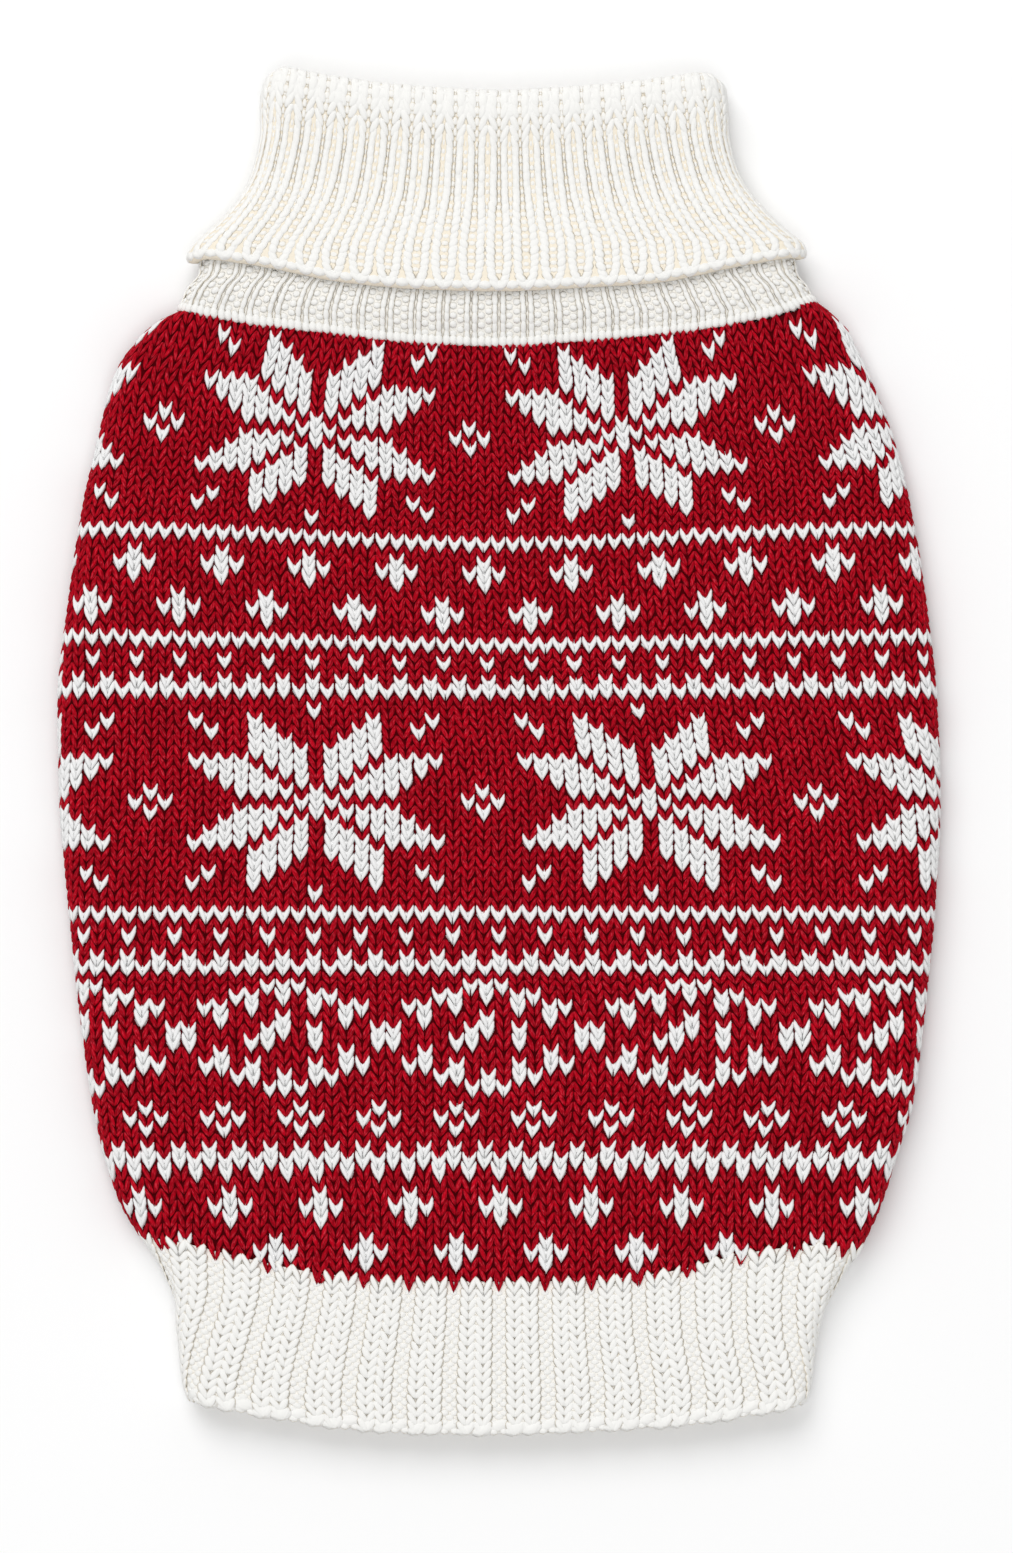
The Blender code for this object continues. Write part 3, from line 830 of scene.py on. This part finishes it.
def yarn(name, dark, body, light, painted_pit_shade, fleck):
    """Spun yarn: streaks of a darker and a lighter dye, the lighter partly painted highlight on its
    fibres, and painted shade, a darker or warmer colour, towards each strand's foot in the pits.
    """
    finish, tree, shader = woolly(name, body, 0.82)
    streak = fibres(tree, 0.7, 0.8, 0.4)
    colour = mix(tree, ramp(tree, streak, 0.35, 0.62), dark, body)
    # light flecks along the fibres: partly the yarn's own lighter fibres, partly painted highlight in
    # place of a sheen
    fleck_and_highlight = fibres(tree, 0.4, 0.5, -0.3)
    colour = mix(tree, ramp(tree, fleck_and_highlight, 0.5, 0.68, 0.0, fleck), colour, light)
    colour = mix(tree, ramp(tree, attribute(tree, "tone"), 0.0, 1.0, 0.0, 0.35), colour, dark)
    colour = mix(tree, ramp(tree, mottle(tree, 0.012), 0.35, 0.7, 0.0, 0.25), colour, dark)
    # painted shade: the colour goes over to the pit shade by how deep each point lies on its strand,
    # plus its lay's shade
    colour = mix(tree, ramp(tree, attribute(tree, "sink"), 0.3, 0.9), colour, painted_pit_shade)
    tree.links.new(colour, shader.inputs["Base Color"])
    bumped(tree, shader, fibres(tree, 0.8, 0.35, 0.4), strength=0.6, distance=0.00025)
    return finish


def ground(name, deep, body):
    """The cloth behind the stitches, which shows in their pits and on the plain inner side. Its colour
    is painted shade, darker than its yarn or warmer on the ivory.
    """
    finish, tree, shader = woolly(name, body, 0.9)
    colour = mix(tree, mottle(tree, 0.0012), deep, body)
    tree.links.new(colour, shader.inputs["Base Color"])
    bumped(tree, shader, mottle(tree, 0.0016), strength=0.7, distance=0.0006)
    return finish


def tinted(colour, factor):
    """A colour made darker or lighter, with alpha."""
    return (*(min(part * factor, 1.0) for part in colour), 1.0)


def finish_named(name):
    """The yarn or ground of that name, made when it is first asked for."""
    if name in bpy.data.materials:
        return bpy.data.materials[name]
    yarns = bpy.context.scene.sweater_yarns
    red, white, ivory, painted_pit_shade = yarns.red, yarns.white, yarns.ivory, yarns.ivory_pit_shade
    if name == "red_yarn":
        fleck = (*yarns.red_fleck, 1.0)
        # the pits' colour, a tenth of the red, is painted shade
        return yarn(name, tinted(red, 0.5), tinted(red, 1.15), fleck, tinted(red, 0.10), 0.7)
    if name == "white_yarn":
        # the last of these, for the pits, is painted shade
        shades = [tinted(white, factor) for factor in (0.95, 1.0, 1.05, 0.9)]
        return yarn(name, *shades, 0.4)
    if name == "ivory_yarn":
        shades = [tinted(ivory, factor) for factor in (0.97, 1.0, 1.03)]
        return yarn(name, *shades, (*painted_pit_shade, 1.0), 0.4)
    # painted shade: a dark red sheet, a fifth of the red, behind the stitches where the pits are only
    # in shade
    if name == "red_ground_painted_shade":
        return ground(name, tinted(red, 0.08), tinted(red, 0.2))
    # painted shade: the ivory a quarter of the way to the pit shade, for the cloth of the hem and the
    # stand
    if name == "hem_ground_painted_shade":
        pale = Vector(ivory).lerp(Vector(painted_pit_shade), 0.25)
        return ground(name, tinted(pale, 0.97), tinted(pale, 1.0))
    # painted shade: the beige pit shade as the cloth of the collar and the cuffs
    if name == "ivory_ground_painted_shade":
        return ground(name, tinted(painted_pit_shade, 0.9), tinted(painted_pit_shade, 1.0))
    raise ValueError(f"no finish is named {name}")


# --- Cloth -------------------------------------------------------------------------------------


def cloth(name, across_steps, along_steps, shape, finish, node_names, thickness, join=False):
    """A thin shell on a surface. shape turns a grid's corners, -1 to 1 each way, into points."""
    bm = bmesh.new()
    bmesh.ops.create_grid(bm, x_segments=across_steps, y_segments=along_steps, size=1.0)
    bm.verts.ensure_lookup_table()
    corners = np.array([vert.co[:2] for vert in bm.verts])
    points = shape(corners[:, 0], corners[:, 1]) * MM
    for vert, point in zip(bm.verts, points):
        vert.co = Vector(point)
    if join:
        bmesh.ops.remove_doubles(bm, verts=bm.verts, dist=0.01 * MM)
    return cloth_piece(name, bm, finish, node_names, thickness)


def cloth_piece(name, bm, finish, node_names, thickness):
    """A shell from a bmesh surface, thickened inwards, in place of its solids."""
    mesh = bpy.data.meshes.new(name)
    bm.to_mesh(mesh)
    bm.free()
    mesh.shade_smooth()
    mesh.materials.append(finish)
    piece = bpy.data.objects.new(name, mesh)
    bpy.context.scene.collection.objects.link(piece)
    if thickness:
        wall = piece.modifiers.new("wall", "SOLIDIFY")
        wall.thickness = thickness * MM
        wall.offset = -1.0
    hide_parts(*node_names)
    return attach(piece, "root")


def panel_point(side, share, lift, below):
    """A point of the back or the belly: side -1 to 1 between the side seams, share down the body."""
    y = edge["neck_seam"](side) * (1 - share) + edge["hem_seam"](side) * share
    for _ in range(5):
        size = body_size(y)
        _, radius, straight = fold_sizes(size, side)
        seam = straight + radius * SIDE_SEAM
        whole = 2 * (straight + radius * QUARTER)
        way = np.abs(side)
        along = np.sign(side) * (whole - (whole - seam) * way) if below else side * seam
        along = np.where(side == 0, whole if below else 0.0, along)
        across = across_at(size, along)
        y = edge["neck_seam"](across) * (1 - share) + edge["hem_seam"](across) * share
    x, z = on_tube(body_size(y), along, lift)
    return np.stack([x, y, z], axis=-1)


def panel_shape(below):
    """The grid of a panel; the belly's is turned over, so that its faces point out."""

    def shape(u, v):
        side = -u if below else u
        return panel_point(side, (1 - v) / 2, BODY_BACKING.lift, below)

    return shape


def charted(columns, rows):
    """Which stitches are white."""
    white = np.zeros(columns.shape, bool)
    for band in BANDS:
        chart = np.array([[mark == "x" for mark in line] for line in band.chart])
        line = rows - band.row
        inside = (line >= 0) & (line < len(chart))
        column = (columns - band.column) % chart.shape[1]
        white |= inside & chart[np.clip(line, 0, len(chart) - 1), column]
    return white


BODY_COLUMNS = np.arange(-50, 76)  # all round, past the middle of the belly on both sides
BODY_ROWS = np.arange(-5, 95)
NECK_OVERLAP = 1.1  # how far past a seam the middle of a stitch may lie
HEM_OVERLAP = 0.6
BELLY_OVERLAP = 0.25  # the same at the belly's middle line, in columns
BACK_SPLIT_ROW = 43  # from which the back's plain stitches are in a second piece
CUFF_MARGIN = 1.5  # between a leg cuff and the middle of a stitch


def body_stitches(below):
    """Columns and rows of the stitches of the back or the belly, between the seams."""
    columns, rows = np.meshgrid(BODY_COLUMNS, BODY_ROWS)
    columns, rows = columns.ravel(), rows.ravel()
    points = body_point(columns.astype(float), rows.astype(float), 0.0)
    y = points[:, 1]
    along = first_column(y) + columns * column_pitch(y)
    size = body_size(y)
    _, radius, straight = fold_sizes(size, along)
    across = across_at(size, along)
    seam = straight + radius * SIDE_SEAM
    whole = 2 * (straight + radius * QUARTER)
    way = np.abs(along)
    kept = y < edge["neck_seam"](across) + NECK_OVERLAP
    kept &= y > edge["hem_seam"](across) - HEM_OVERLAP
    if below:
        kept &= (way > seam) & (way < whole + column_pitch(y) * BELLY_OVERLAP)
    else:
        kept &= way < seam
    return columns[kept], rows[kept], points[kept]


def outside_cuffs(points, margin):
    """Which points of the belly are clear of the leg openings' bands."""
    out = CUFF_BAND + margin
    x = (np.abs(points[:, 0]) - LEG_ACROSS) / (LEG_HALF_WIDTH + out)
    y = (points[:, 1] - LEG_ALONG) / (LEG_HALF_LENGTH + out)
    return np.hypot(x, y) > 1


def plain_knitting(name, stations, sides, columns, rows, finish, seed, lay, filling=None):
    """V stitches: a leg on each side of every column's middle line, and yarn behind them."""
    right = leg(stations, sides)
    knitting = Knitting(seed)
    for strand in (right, mirrored(right)):
        knitting.add(strand, body_point, columns, rows, lay)
    if filling:
        knitting.add(bead(4, 3), body_point, columns, rows, filling)
    return knitting.piece(name, finish_named(finish), "red_knit")


def make_back():
    """The back panel: its cloth, the red stitches and the white ones of the bands."""
    columns, rows, _ = body_stitches(below=False)
    white = charted(columns, rows)
    upper = rows < BACK_SPLIT_ROW
    for name, stations, chosen, finish, seed, lay, filling in (
        ("back_stitches_upper", PLAIN_LEG, ~white & upper, "red_yarn", 11, PLAIN_V, None),
        ("back_stitches_lower", PLAIN_LEG, ~white & ~upper, "red_yarn", 12, PLAIN_V, None),
        ("back_band_stitches", BAND_LEG, white, "white_yarn", 13, BAND_V, BAND_FILLING),
    ):
        at = columns[chosen], rows[chosen]
        plain_knitting(name, stations, 4, *at, finish, seed, lay, filling)
    piece = cloth(
        "back_cloth", 100, 100, panel_shape(False), finish_named("red_ground_painted_shade"),
        ["back_panel"], BODY_BACKING.thickness,
    )


def make_belly():
    """The belly panel, with its leg openings, knitted plain."""
    columns, rows, points = body_stitches(below=True)
    clear = outside_cuffs(points, CUFF_MARGIN)
    stitches = plain_knitting(
        "belly_stitches", SPARE_LEG, 3, columns[clear], rows[clear], "red_yarn", 21, PLAIN_V
    )
    bm = bmesh.new()
    bmesh.ops.create_grid(bm, x_segments=110, y_segments=110, size=1.0)
    corners = np.array([vert.co[:2] for vert in bm.verts])
    points = panel_shape(True)(corners[:, 0], corners[:, 1])
    inside = ~outside_cuffs(points, SEAM_GAP)
    for vert, point, within in zip(bm.verts, points, inside):
        if within:
            centre = np.array([np.copysign(LEG_ACROSS, point[0]), LEG_ALONG])
            reach = np.array([LEG_HALF_WIDTH, LEG_HALF_LENGTH]) + CUFF_BAND + SEAM_GAP
            way = (point[:2] - centre) / reach
            vert.tag = True
            point[:2] = centre + way / max(np.hypot(*way), 1e-6) * reach
        vert.co = Vector(point) * MM
    hidden = [face for face in bm.faces if all(vert.tag for vert in face.verts)]
    bmesh.ops.delete(bm, geom=hidden, context="FACES")
    piece = cloth_piece(
        "belly_cloth", bm, finish_named("red_ground_painted_shade"), ["belly_panel"],
        BODY_BACKING.thickness,
    )


# A rib tube: its points and how many ribs it has on its upper side.
Tube = namedtuple("Tube", "point ribs")
TURNED = Tube(collar_point, COLLAR_RIBS)
STAND = Tube(stand_point, COLLAR_RIBS)
HEM = Tube(hem_point, HEM_RIBS)
FINE_TURN = 1.12  # how far round a tube the fine strands go; its side folds lie at 1


def is_above(column, ribs):
    """Which columns of a rib tube lie on its upper side, or just round its folds."""
    return np.abs(column) * 2 / ribs < FINE_TURN


def add_round(knitting, strands, tube, column, row, lay, lean=0.0):
    """Adds strands all round a tube: the fine one on its upper side and the spare one below."""
    column, row = np.broadcast_arrays(np.asarray(column, float), row)
    column, row = column.ravel(), row.ravel()
    above = is_above(column, tube.ribs)
    for strand, chosen in zip(strands, (above, ~above)):
        *parts, leaning = [np.broadcast_to(part, column.shape)[chosen] for part in (*lay, lean)]
        knitting.add(strand, tube.point, column[chosen], row[chosen], Lay(*parts), leaning)


def rib_grid(ribs, rows):
    """A rib number and a row for each rib all round a tube and each row."""
    column, row = np.meshgrid(np.arange(-ribs, ribs), rows)
    return column.ravel().astype(float), row.ravel().astype(float)


def relief(column, depth):
    """How far a rib tube's cloth sinks between its ribs."""
    return depth * (0.5 + 0.5 * np.cos(2 * np.pi * column))


def rib_legs():
    """A rib's strand, fine and spare."""
    return leg(RIB_LEG, 4), leg(SPARE_RIB_LEG, 3)


def purl_beads():
    """A purl bump, fine and spare."""
    return bead(6, 4), bead(4, 3)


def knit_turned():
    """The turned-down layer's ribs, the bumps on and between them, and its lip."""
    legs, beads = rib_legs(), purl_beads()
    knitting = Knitting(31)
    rib, row = rib_grid(COLLAR_RIBS, np.arange(0, FACE_ROWS + FOLD_ROWS))
    at = {name: read(row) for name, read in collar_row.items()}
    strand = Lay(at["width"], at["tall"], COLLAR_STRAND_DEPTH)
    for side in (-1, 1):
        add_round(knitting, legs, TURNED, rib + 0.5 + side * at["out"], row, strand, side * at["lean"])
    shown = at["bead"] > LEAST_BEAD
    on_rib = RIB_BEAD._replace(wide=at["bead"][shown])
    add_round(knitting, beads, TURNED, rib[shown] + 0.5, row[shown], on_rib)
    shown = row > 1
    lift = TROUGH_BEAD.lift - trough_depth(BEAD_DEPTH, row[shown])
    in_trough = TROUGH_BEAD._replace(wide=at["trough"][shown], lift=lift)
    add_round(knitting, beads, TURNED, rib[shown], row[shown], in_trough)
    folded = np.isin(row, FOLD_FILLED)
    add_round(knitting, beads, TURNED, rib[folded] + 0.5, row[folded], FOLD_BEAD)
    add_round(knitting, beads, TURNED, rib[folded], row[folded] - 0.5, FOLD_TROUGH_BEAD)
    lip, _ = rib_grid(COLLAR_RIBS, [0])
    for shift in (0.0, 0.5):
        add_round(knitting, beads, TURNED, lip + shift, 0.0, LIP_BEAD)
    return knitting.piece("collar_turned_stitches", finish_named("ivory_yarn"), "ivory_rib")


def knit_stand():
    """The stand's ribs, the bumps between them and the row of bumps along the neck seam."""
    legs, beads = rib_legs(), purl_beads()
    knitting = Knitting(32)
    rib, row = rib_grid(COLLAR_RIBS, np.arange(-STAND_HIDDEN_ROWS, STAND_ROWS))
    for side in (-1, 1):
        add_round(knitting, legs, STAND, rib + side * STAND_STRAND_OUT, row, STAND_STRAND)
        column = rib + 0.5 + side * STAND_BEAD_OUT
        add_round(knitting, beads, STAND, column, row + STAND_BEAD_STEP * side, STAND_BEAD)
    seam, _ = rib_grid(COLLAR_RIBS, [0])
    for shift in NECK_SEAM_BEADS:
        add_round(knitting, beads, STAND, seam + shift, NECK_SEAM_ROW, NECK_SEAM_BEAD)
    return knitting.piece("collar_stand_stitches", finish_named("ivory_yarn"), "ivory_rib")


def make_collar():
    """The collar: one length of cloth that stands up, folds over and hangs down to its lip."""
    turned_piece = knit_turned()
    stand_piece = knit_stand()
    last_row = FACE_ROWS + (np.pi * FOLD_RADIUS + MOUTH_DEPTH) / FOLD_ROW

    def turned_shape(u, v):
        column = u * COLLAR_RIBS
        row = (1 - v) / 2 * (last_row + LIP_CLOTH_ROWS) - LIP_CLOTH_ROWS
        sunk = relief(column, trough_depth(CLOTH_DEPTH, row))
        return collar_point(column, row, COLLAR_BACKING.lift - sunk)

    def stand_shape(u, v):
        row = STAND_ROWS * (1 - (1 + v) / 2 * STAND_REACH)
        return stand_point(u * COLLAR_RIBS, row, STAND_BACKING.lift)

    cloth(
            "collar_cloth", 240, 60, turned_shape, finish_named("ivory_ground_painted_shade"),
            ["collar"], COLLAR_BACKING.thickness, join=True,
        )
    cloth(
            "collar_stand_cloth", 144, 24, stand_shape, finish_named("hem_ground_painted_shade"),
            ["collar"], STAND_BACKING.thickness, join=True,
        )


def make_hem():
    """The hem: ribs of two V columns, purl troughs between them and a cast-off edge."""
    legs, beads = rib_legs(), purl_beads()
    arm, spare_arm = leg(BAND_LEG, 4), leg(SPARE_LEG, 3)
    arms = {1: (arm, spare_arm), -1: (mirrored(arm), mirrored(spare_arm))}
    knitting = Knitting(41)
    rib, row = rib_grid(HEM_RIBS, np.arange(1, HEM_ROWS))
    first, _ = rib_grid(HEM_RIBS, [0])
    first_v = HEM_FIRST_V._replace(lift=HEM_FIRST_V.lift * is_above(first, HEM_RIBS))
    for side in (-1, 1):
        for way in (-1, 1):
            column = rib + 0.5 + side * HEM_V_OUT + way * HEM_STRAND_OUT
            add_round(knitting, legs, HEM, column, row + 0.5, HEM_STRAND, way * HEM_STRAND_LEAN)
            add_round(knitting, arms[way], HEM, first + 0.5 + side * HEM_V_OUT, HEM_FIRST_ROW, first_v)
        add_round(knitting, beads, HEM, rib + side * HEM_BEAD_OUT, row + HEM_BEAD_LOWER, HEM_BEAD)
    inner = row < HEM_ROWS - 1
    add_round(
        knitting, beads, HEM, rib[inner], row[inner] + HEM_MIDDLE_BEAD_LOWER, HEM_MIDDLE_BEAD
    )
    for shift, lower, lift in CAST_OFF:
        loop = CAST_OFF_LOOP._replace(lift=lift)
        add_round(knitting, beads, HEM, first + shift, HEM_ROWS + lower, loop, CAST_OFF_LEAN)
    purl = Knitting(42)
    for way in (-1, 1):
        add_round(purl, arms[way], HEM, first, HEM_SEAM_ROW, HEM_SEAM_V)
    stitches = [
        knitting.piece("hem_stitches", finish_named("ivory_yarn"), "ivory_rib"),
        purl.piece("hem_seam_stitches", finish_named("red_yarn"), "red_knit"),
    ]

    def shape(u, v):
        column = u * HEM_RIBS
        return hem_point(column, (1 - v) / 2 * HEM_ROWS, HEM_BACKING.lift - relief(column, HEM_RELIEF))

    piece = cloth(
        "hem_cloth", 224, 20, shape, finish_named("hem_ground_painted_shade"), ["hem_rib"],
        HEM_BACKING.thickness, join=True,
    )


def make_cuff(side, across):
    """The rib band round one leg opening."""
    surface = cuff_point(across)
    strand = leg(SPARE_RIB_LEG, 3)
    knitting = Knitting(51)
    column, row = np.meshgrid(np.arange(CUFF_STITCHES), np.arange(CUFF_ROWS) + 0.5)
    column, row = column.ravel().astype(float), row.ravel()
    for out in (-0.25, 0.25):
        knitting.add(strand, surface, column + out, row, CUFF_STRAND)
    stitches = knitting.piece(f"leg_cuff_{side}_stitches", finish_named("ivory_yarn"), "ivory_rib")
    bm = bmesh.new()
    places = CUFF_BAND * (1 - np.linspace(CUFF_HEM, CUFF_ROWS - CUFF_HEM, 6) / CUFF_ROWS)
    profile = [bm.verts.new(Vector((place, 0, -BODY_BACKING.lift))) for place in places]
    edges = [bm.edges.new(pair) for pair in zip(profile, profile[1:])]
    bmesh.ops.spin(
        bm, geom=profile + edges, cent=(-LEG_HALF_WIDTH, 0, 0), axis=(0, 0, 1), angle=2 * np.pi,
        steps=64, use_merge=True,
    )
    stretch = LEG_HALF_LENGTH - LEG_HALF_WIDTH
    for vert in bm.verts:
        x, y = vert.co.x + LEG_HALF_WIDTH, vert.co.y
        y += stretch * y / np.hypot(x, y)
        vert.co = Vector((x + across, y + LEG_ALONG, vert.co.z)) * MM
    bm.normal_update()
    for face in bm.faces:
        if face.normal.z > 0:
            face.normal_flip()
    piece = cloth_piece(
        f"leg_cuff_{side}_cloth", bm, finish_named("ivory_ground_painted_shade"),
        [f"leg_cuff_{side}"], CUFF_THICKNESS + BODY_BACKING.lift,
    )


# --- Studio ------------------------------------------------------------------------------------


FLOOR_HALF = 2.0  # metres, as all of the studio is
FLOOR_DROP = 0.0003
SEEN_HEIGHT = 0.009  # of the garment, from which the camera's height is counted


def aimed(thing, target):
    thing.rotation_euler = (target - thing.location).to_track_quat("-Z", "Y").to_euler()


def make_studio():
    """A pale floor, a large soft light from the collar's side, a softer one above, and the camera."""
    studio = bpy.context.scene.sweater_studio
    scene = bpy.context.scene
    bm = bmesh.new()
    bmesh.ops.create_grid(bm, x_segments=1, y_segments=1, size=FLOOR_HALF)
    bmesh.ops.translate(bm, verts=bm.verts, vec=(0, 0, -FLOOR_DROP))
    mesh = bpy.data.meshes.new("floor")
    bm.to_mesh(mesh)
    bm.free()
    finish = bpy.data.materials.new("floor_paper")
    finish.use_nodes = True
    shader = finish.node_tree.nodes["Principled BSDF"]
    shader.inputs["Base Color"].default_value = (*studio.floor, 1.0)
    shader.inputs["Roughness"].default_value = 0.9
    shader.inputs["Specular IOR Level"].default_value = 0.1
    mesh.materials.append(finish)
    floor = bpy.data.objects.new("floor", mesh)
    scene.collection.objects.link(floor)

    world = bpy.data.worlds.new("studio_white")
    world.use_nodes = True
    sky = world.node_tree.nodes["Background"]
    sky.inputs["Color"].default_value = (1.0, 1.0, 1.0, 1.0)
    sky.inputs["Strength"].default_value = studio.sky
    scene.world = world

    for name, place, size, power in (
        ("key", (-1.0, 2.4, 3.0), studio.key_size, studio.key_power),
        ("overhead", (0.0, -0.6, 3.2), studio.overhead_size, studio.overhead_power),
    ):
        light = bpy.data.lights.new(name, "AREA")
        light.shape = "DISK"
        light.size = size
        light.energy = power
        lamp = bpy.data.objects.new(name, light)
        scene.collection.objects.link(lamp)
        lamp.location = place
        aimed(lamp, Vector((0.0, 0.0, 0.0)))

    camera = bpy.data.cameras.new("camera")
    camera.sensor_width = 36.0
    camera.lens = camera.sensor_width * studio.camera_height / studio.view_length
    camera.clip_end = 50.0
    eye = bpy.data.objects.new("camera", camera)
    scene.collection.objects.link(eye)
    eye.location = (studio.view_x, studio.view_y, studio.camera_height + SEEN_HEIGHT)
    scene.camera = eye
    scene.view_settings.view_transform = "Standard"


# --- Add-on ------------------------------------------------------------------------------------


class SweaterYarns(bpy.types.PropertyGroup):
    red: FloatVectorProperty(
        name="Red", description="Main yarn of the back and the belly", subtype="COLOR", size=3,
        default=(0.46, 0.001, 0.011), min=0.0, max=1.0,
    )
    # partly the yarn's own light fibres, partly painted highlight on them
    red_fleck: FloatVectorProperty(
        name="Red fleck", description="Light fibres in the red yarn", subtype="COLOR", size=3,
        default=(0.72, 0.05, 0.08), min=0.0, max=1.0,
    )
    white: FloatVectorProperty(
        name="White", description="Yarn of the bands", subtype="COLOR", size=3,
        default=(0.87, 0.868, 0.865), min=0.0, max=1.0,
    )
    ivory: FloatVectorProperty(
        name="Ivory", description="Yarn of the collar, hem and leg cuffs", subtype="COLOR", size=3,
        default=(0.90, 0.893, 0.868), min=0.0, max=1.0,
    )
    # painted shade: the warm beige the ivory takes towards each strand's foot and in its cloth, in
    # place of the shade and the light through the wool in the pits
    ivory_pit_shade: FloatVectorProperty(
        name="Ivory pits", description="Ivory yarn between the ribs", subtype="COLOR", size=3,
        default=(0.91, 0.835, 0.70), min=0.0, max=1.0,
    )


class SweaterStitches(bpy.types.PropertyGroup):
    unevenness: FloatProperty(
        name="Unevenness", description="How much stitches differ from each other", default=1.0,
        min=0.0, max=3.0, subtype="FACTOR",
    )


class SweaterStudio(bpy.types.PropertyGroup):
    floor: FloatVectorProperty(
        name="Floor", description="Colour of the floor", subtype="COLOR", size=3,
        default=(0.95, 0.95, 0.95), min=0.0, max=1.0,
    )
    sky: FloatProperty(
        name="Sky", description="Strength of the light from all round", default=0.56, min=0.0
    )
    key_power: FloatProperty(
        name="Key power", description="Power of the key light", default=68.0, unit="POWER"
    )
    key_size: FloatProperty(
        name="Key size", description="Width of the key light", default=2.8, unit="LENGTH"
    )
    overhead_power: FloatProperty(
        name="Overhead power", description="Power of the light overhead", default=24.0, unit="POWER"
    )
    overhead_size: FloatProperty(
        name="Overhead size", description="Width of the light overhead", default=2.0, unit="LENGTH"
    )
    camera_height: FloatProperty(
        name="Camera height", description="Height of the camera over the garment", default=2.4,
        unit="LENGTH",
    )
    view_length: FloatProperty(
        name="View length", description="Length of the floor that the camera sees", default=0.4737,
        unit="LENGTH",
    )
    view_x: FloatProperty(
        name="View X", description="Where the camera is across", default=0.0023, unit="LENGTH"
    )
    view_y: FloatProperty(
        name="View Y", description="Where the camera is along", default=-0.0082, unit="LENGTH"
    )


class SWEATER_OT_belly(bpy.types.Operator):
    """Knits the belly panel, with its leg openings"""

    bl_idname = "sweater.belly"
    bl_label = "Belly"

    def execute(self, context):
        make_belly()
        return {"FINISHED"}


class SWEATER_OT_back(bpy.types.Operator):
    """Knits the back panel, with its white bands"""

    bl_idname = "sweater.back"
    bl_label = "Back"

    def execute(self, context):
        make_back()
        return {"FINISHED"}


class SWEATER_OT_collar(bpy.types.Operator):
    """Knits the turned-down rib collar and its stand"""

    bl_idname = "sweater.collar"
    bl_label = "Collar"

    def execute(self, context):
        make_collar()
        return {"FINISHED"}


class SWEATER_OT_hem(bpy.types.Operator):
    """Knits the rib hem and its cast-off edge"""

    bl_idname = "sweater.hem"
    bl_label = "Hem"

    def execute(self, context):
        make_hem()
        return {"FINISHED"}


class SWEATER_OT_leg_cuffs(bpy.types.Operator):
    """Knits the bands round the two leg openings"""

    bl_idname = "sweater.leg_cuffs"
    bl_label = "Leg cuffs"

    def execute(self, context):
        make_cuff("left", -LEG_ACROSS)
        make_cuff("right", LEG_ACROSS)
        return {"FINISHED"}


class SWEATER_OT_studio(bpy.types.Operator):
    """Sets the floor, the lights and the camera"""

    bl_idname = "sweater.studio"
    bl_label = "Studio"

    def execute(self, context):
        make_studio()
        return {"FINISHED"}


OPERATORS = [
    SWEATER_OT_studio,
    SWEATER_OT_belly,
    SWEATER_OT_back,
    SWEATER_OT_collar,
    SWEATER_OT_hem,
    SWEATER_OT_leg_cuffs,
]


class SWEATER_PT_panel(bpy.types.Panel):
    """Lists the garment's pieces and the sizes and colours they are made with"""

    bl_idname = "SWEATER_PT_panel"
    bl_label = "Sweater"
    bl_space_type = "VIEW_3D"
    bl_region_type = "UI"
    bl_category = "Sweater"

    def draw(self, context):
        for operator in OPERATORS:
            self.layout.operator(operator.bl_idname)
        for group, _ in GROUPS:
            settings = getattr(context.scene, group)
            box = self.layout.box()
            for name in settings.bl_rna.properties.keys():
                if name not in ("rna_type", "name"):
                    box.prop(settings, name)


GROUPS = [
    ("sweater_yarns", SweaterYarns),
    ("sweater_stitches", SweaterStitches),
    ("sweater_studio", SweaterStudio),
]


def register():
    for name, group in GROUPS:
        bpy.utils.register_class(group)
        setattr(bpy.types.Scene, name, PointerProperty(type=group))
    for operator in OPERATORS:
        bpy.utils.register_class(operator)
    bpy.utils.register_class(SWEATER_PT_panel)


def unregister():
    bpy.utils.unregister_class(SWEATER_PT_panel)
    for operator in reversed(OPERATORS):
        bpy.utils.unregister_class(operator)
    for name, group in reversed(GROUPS):
        delattr(bpy.types.Scene, name)
        bpy.utils.unregister_class(group)


def main():
    register()
    bpy.ops.sweater.studio()
    bpy.ops.sweater.belly()
    bpy.ops.sweater.back()
    bpy.ops.sweater.collar()
    bpy.ops.sweater.hem()
    bpy.ops.sweater.leg_cuffs()


if __name__ == "__main__":
    main()
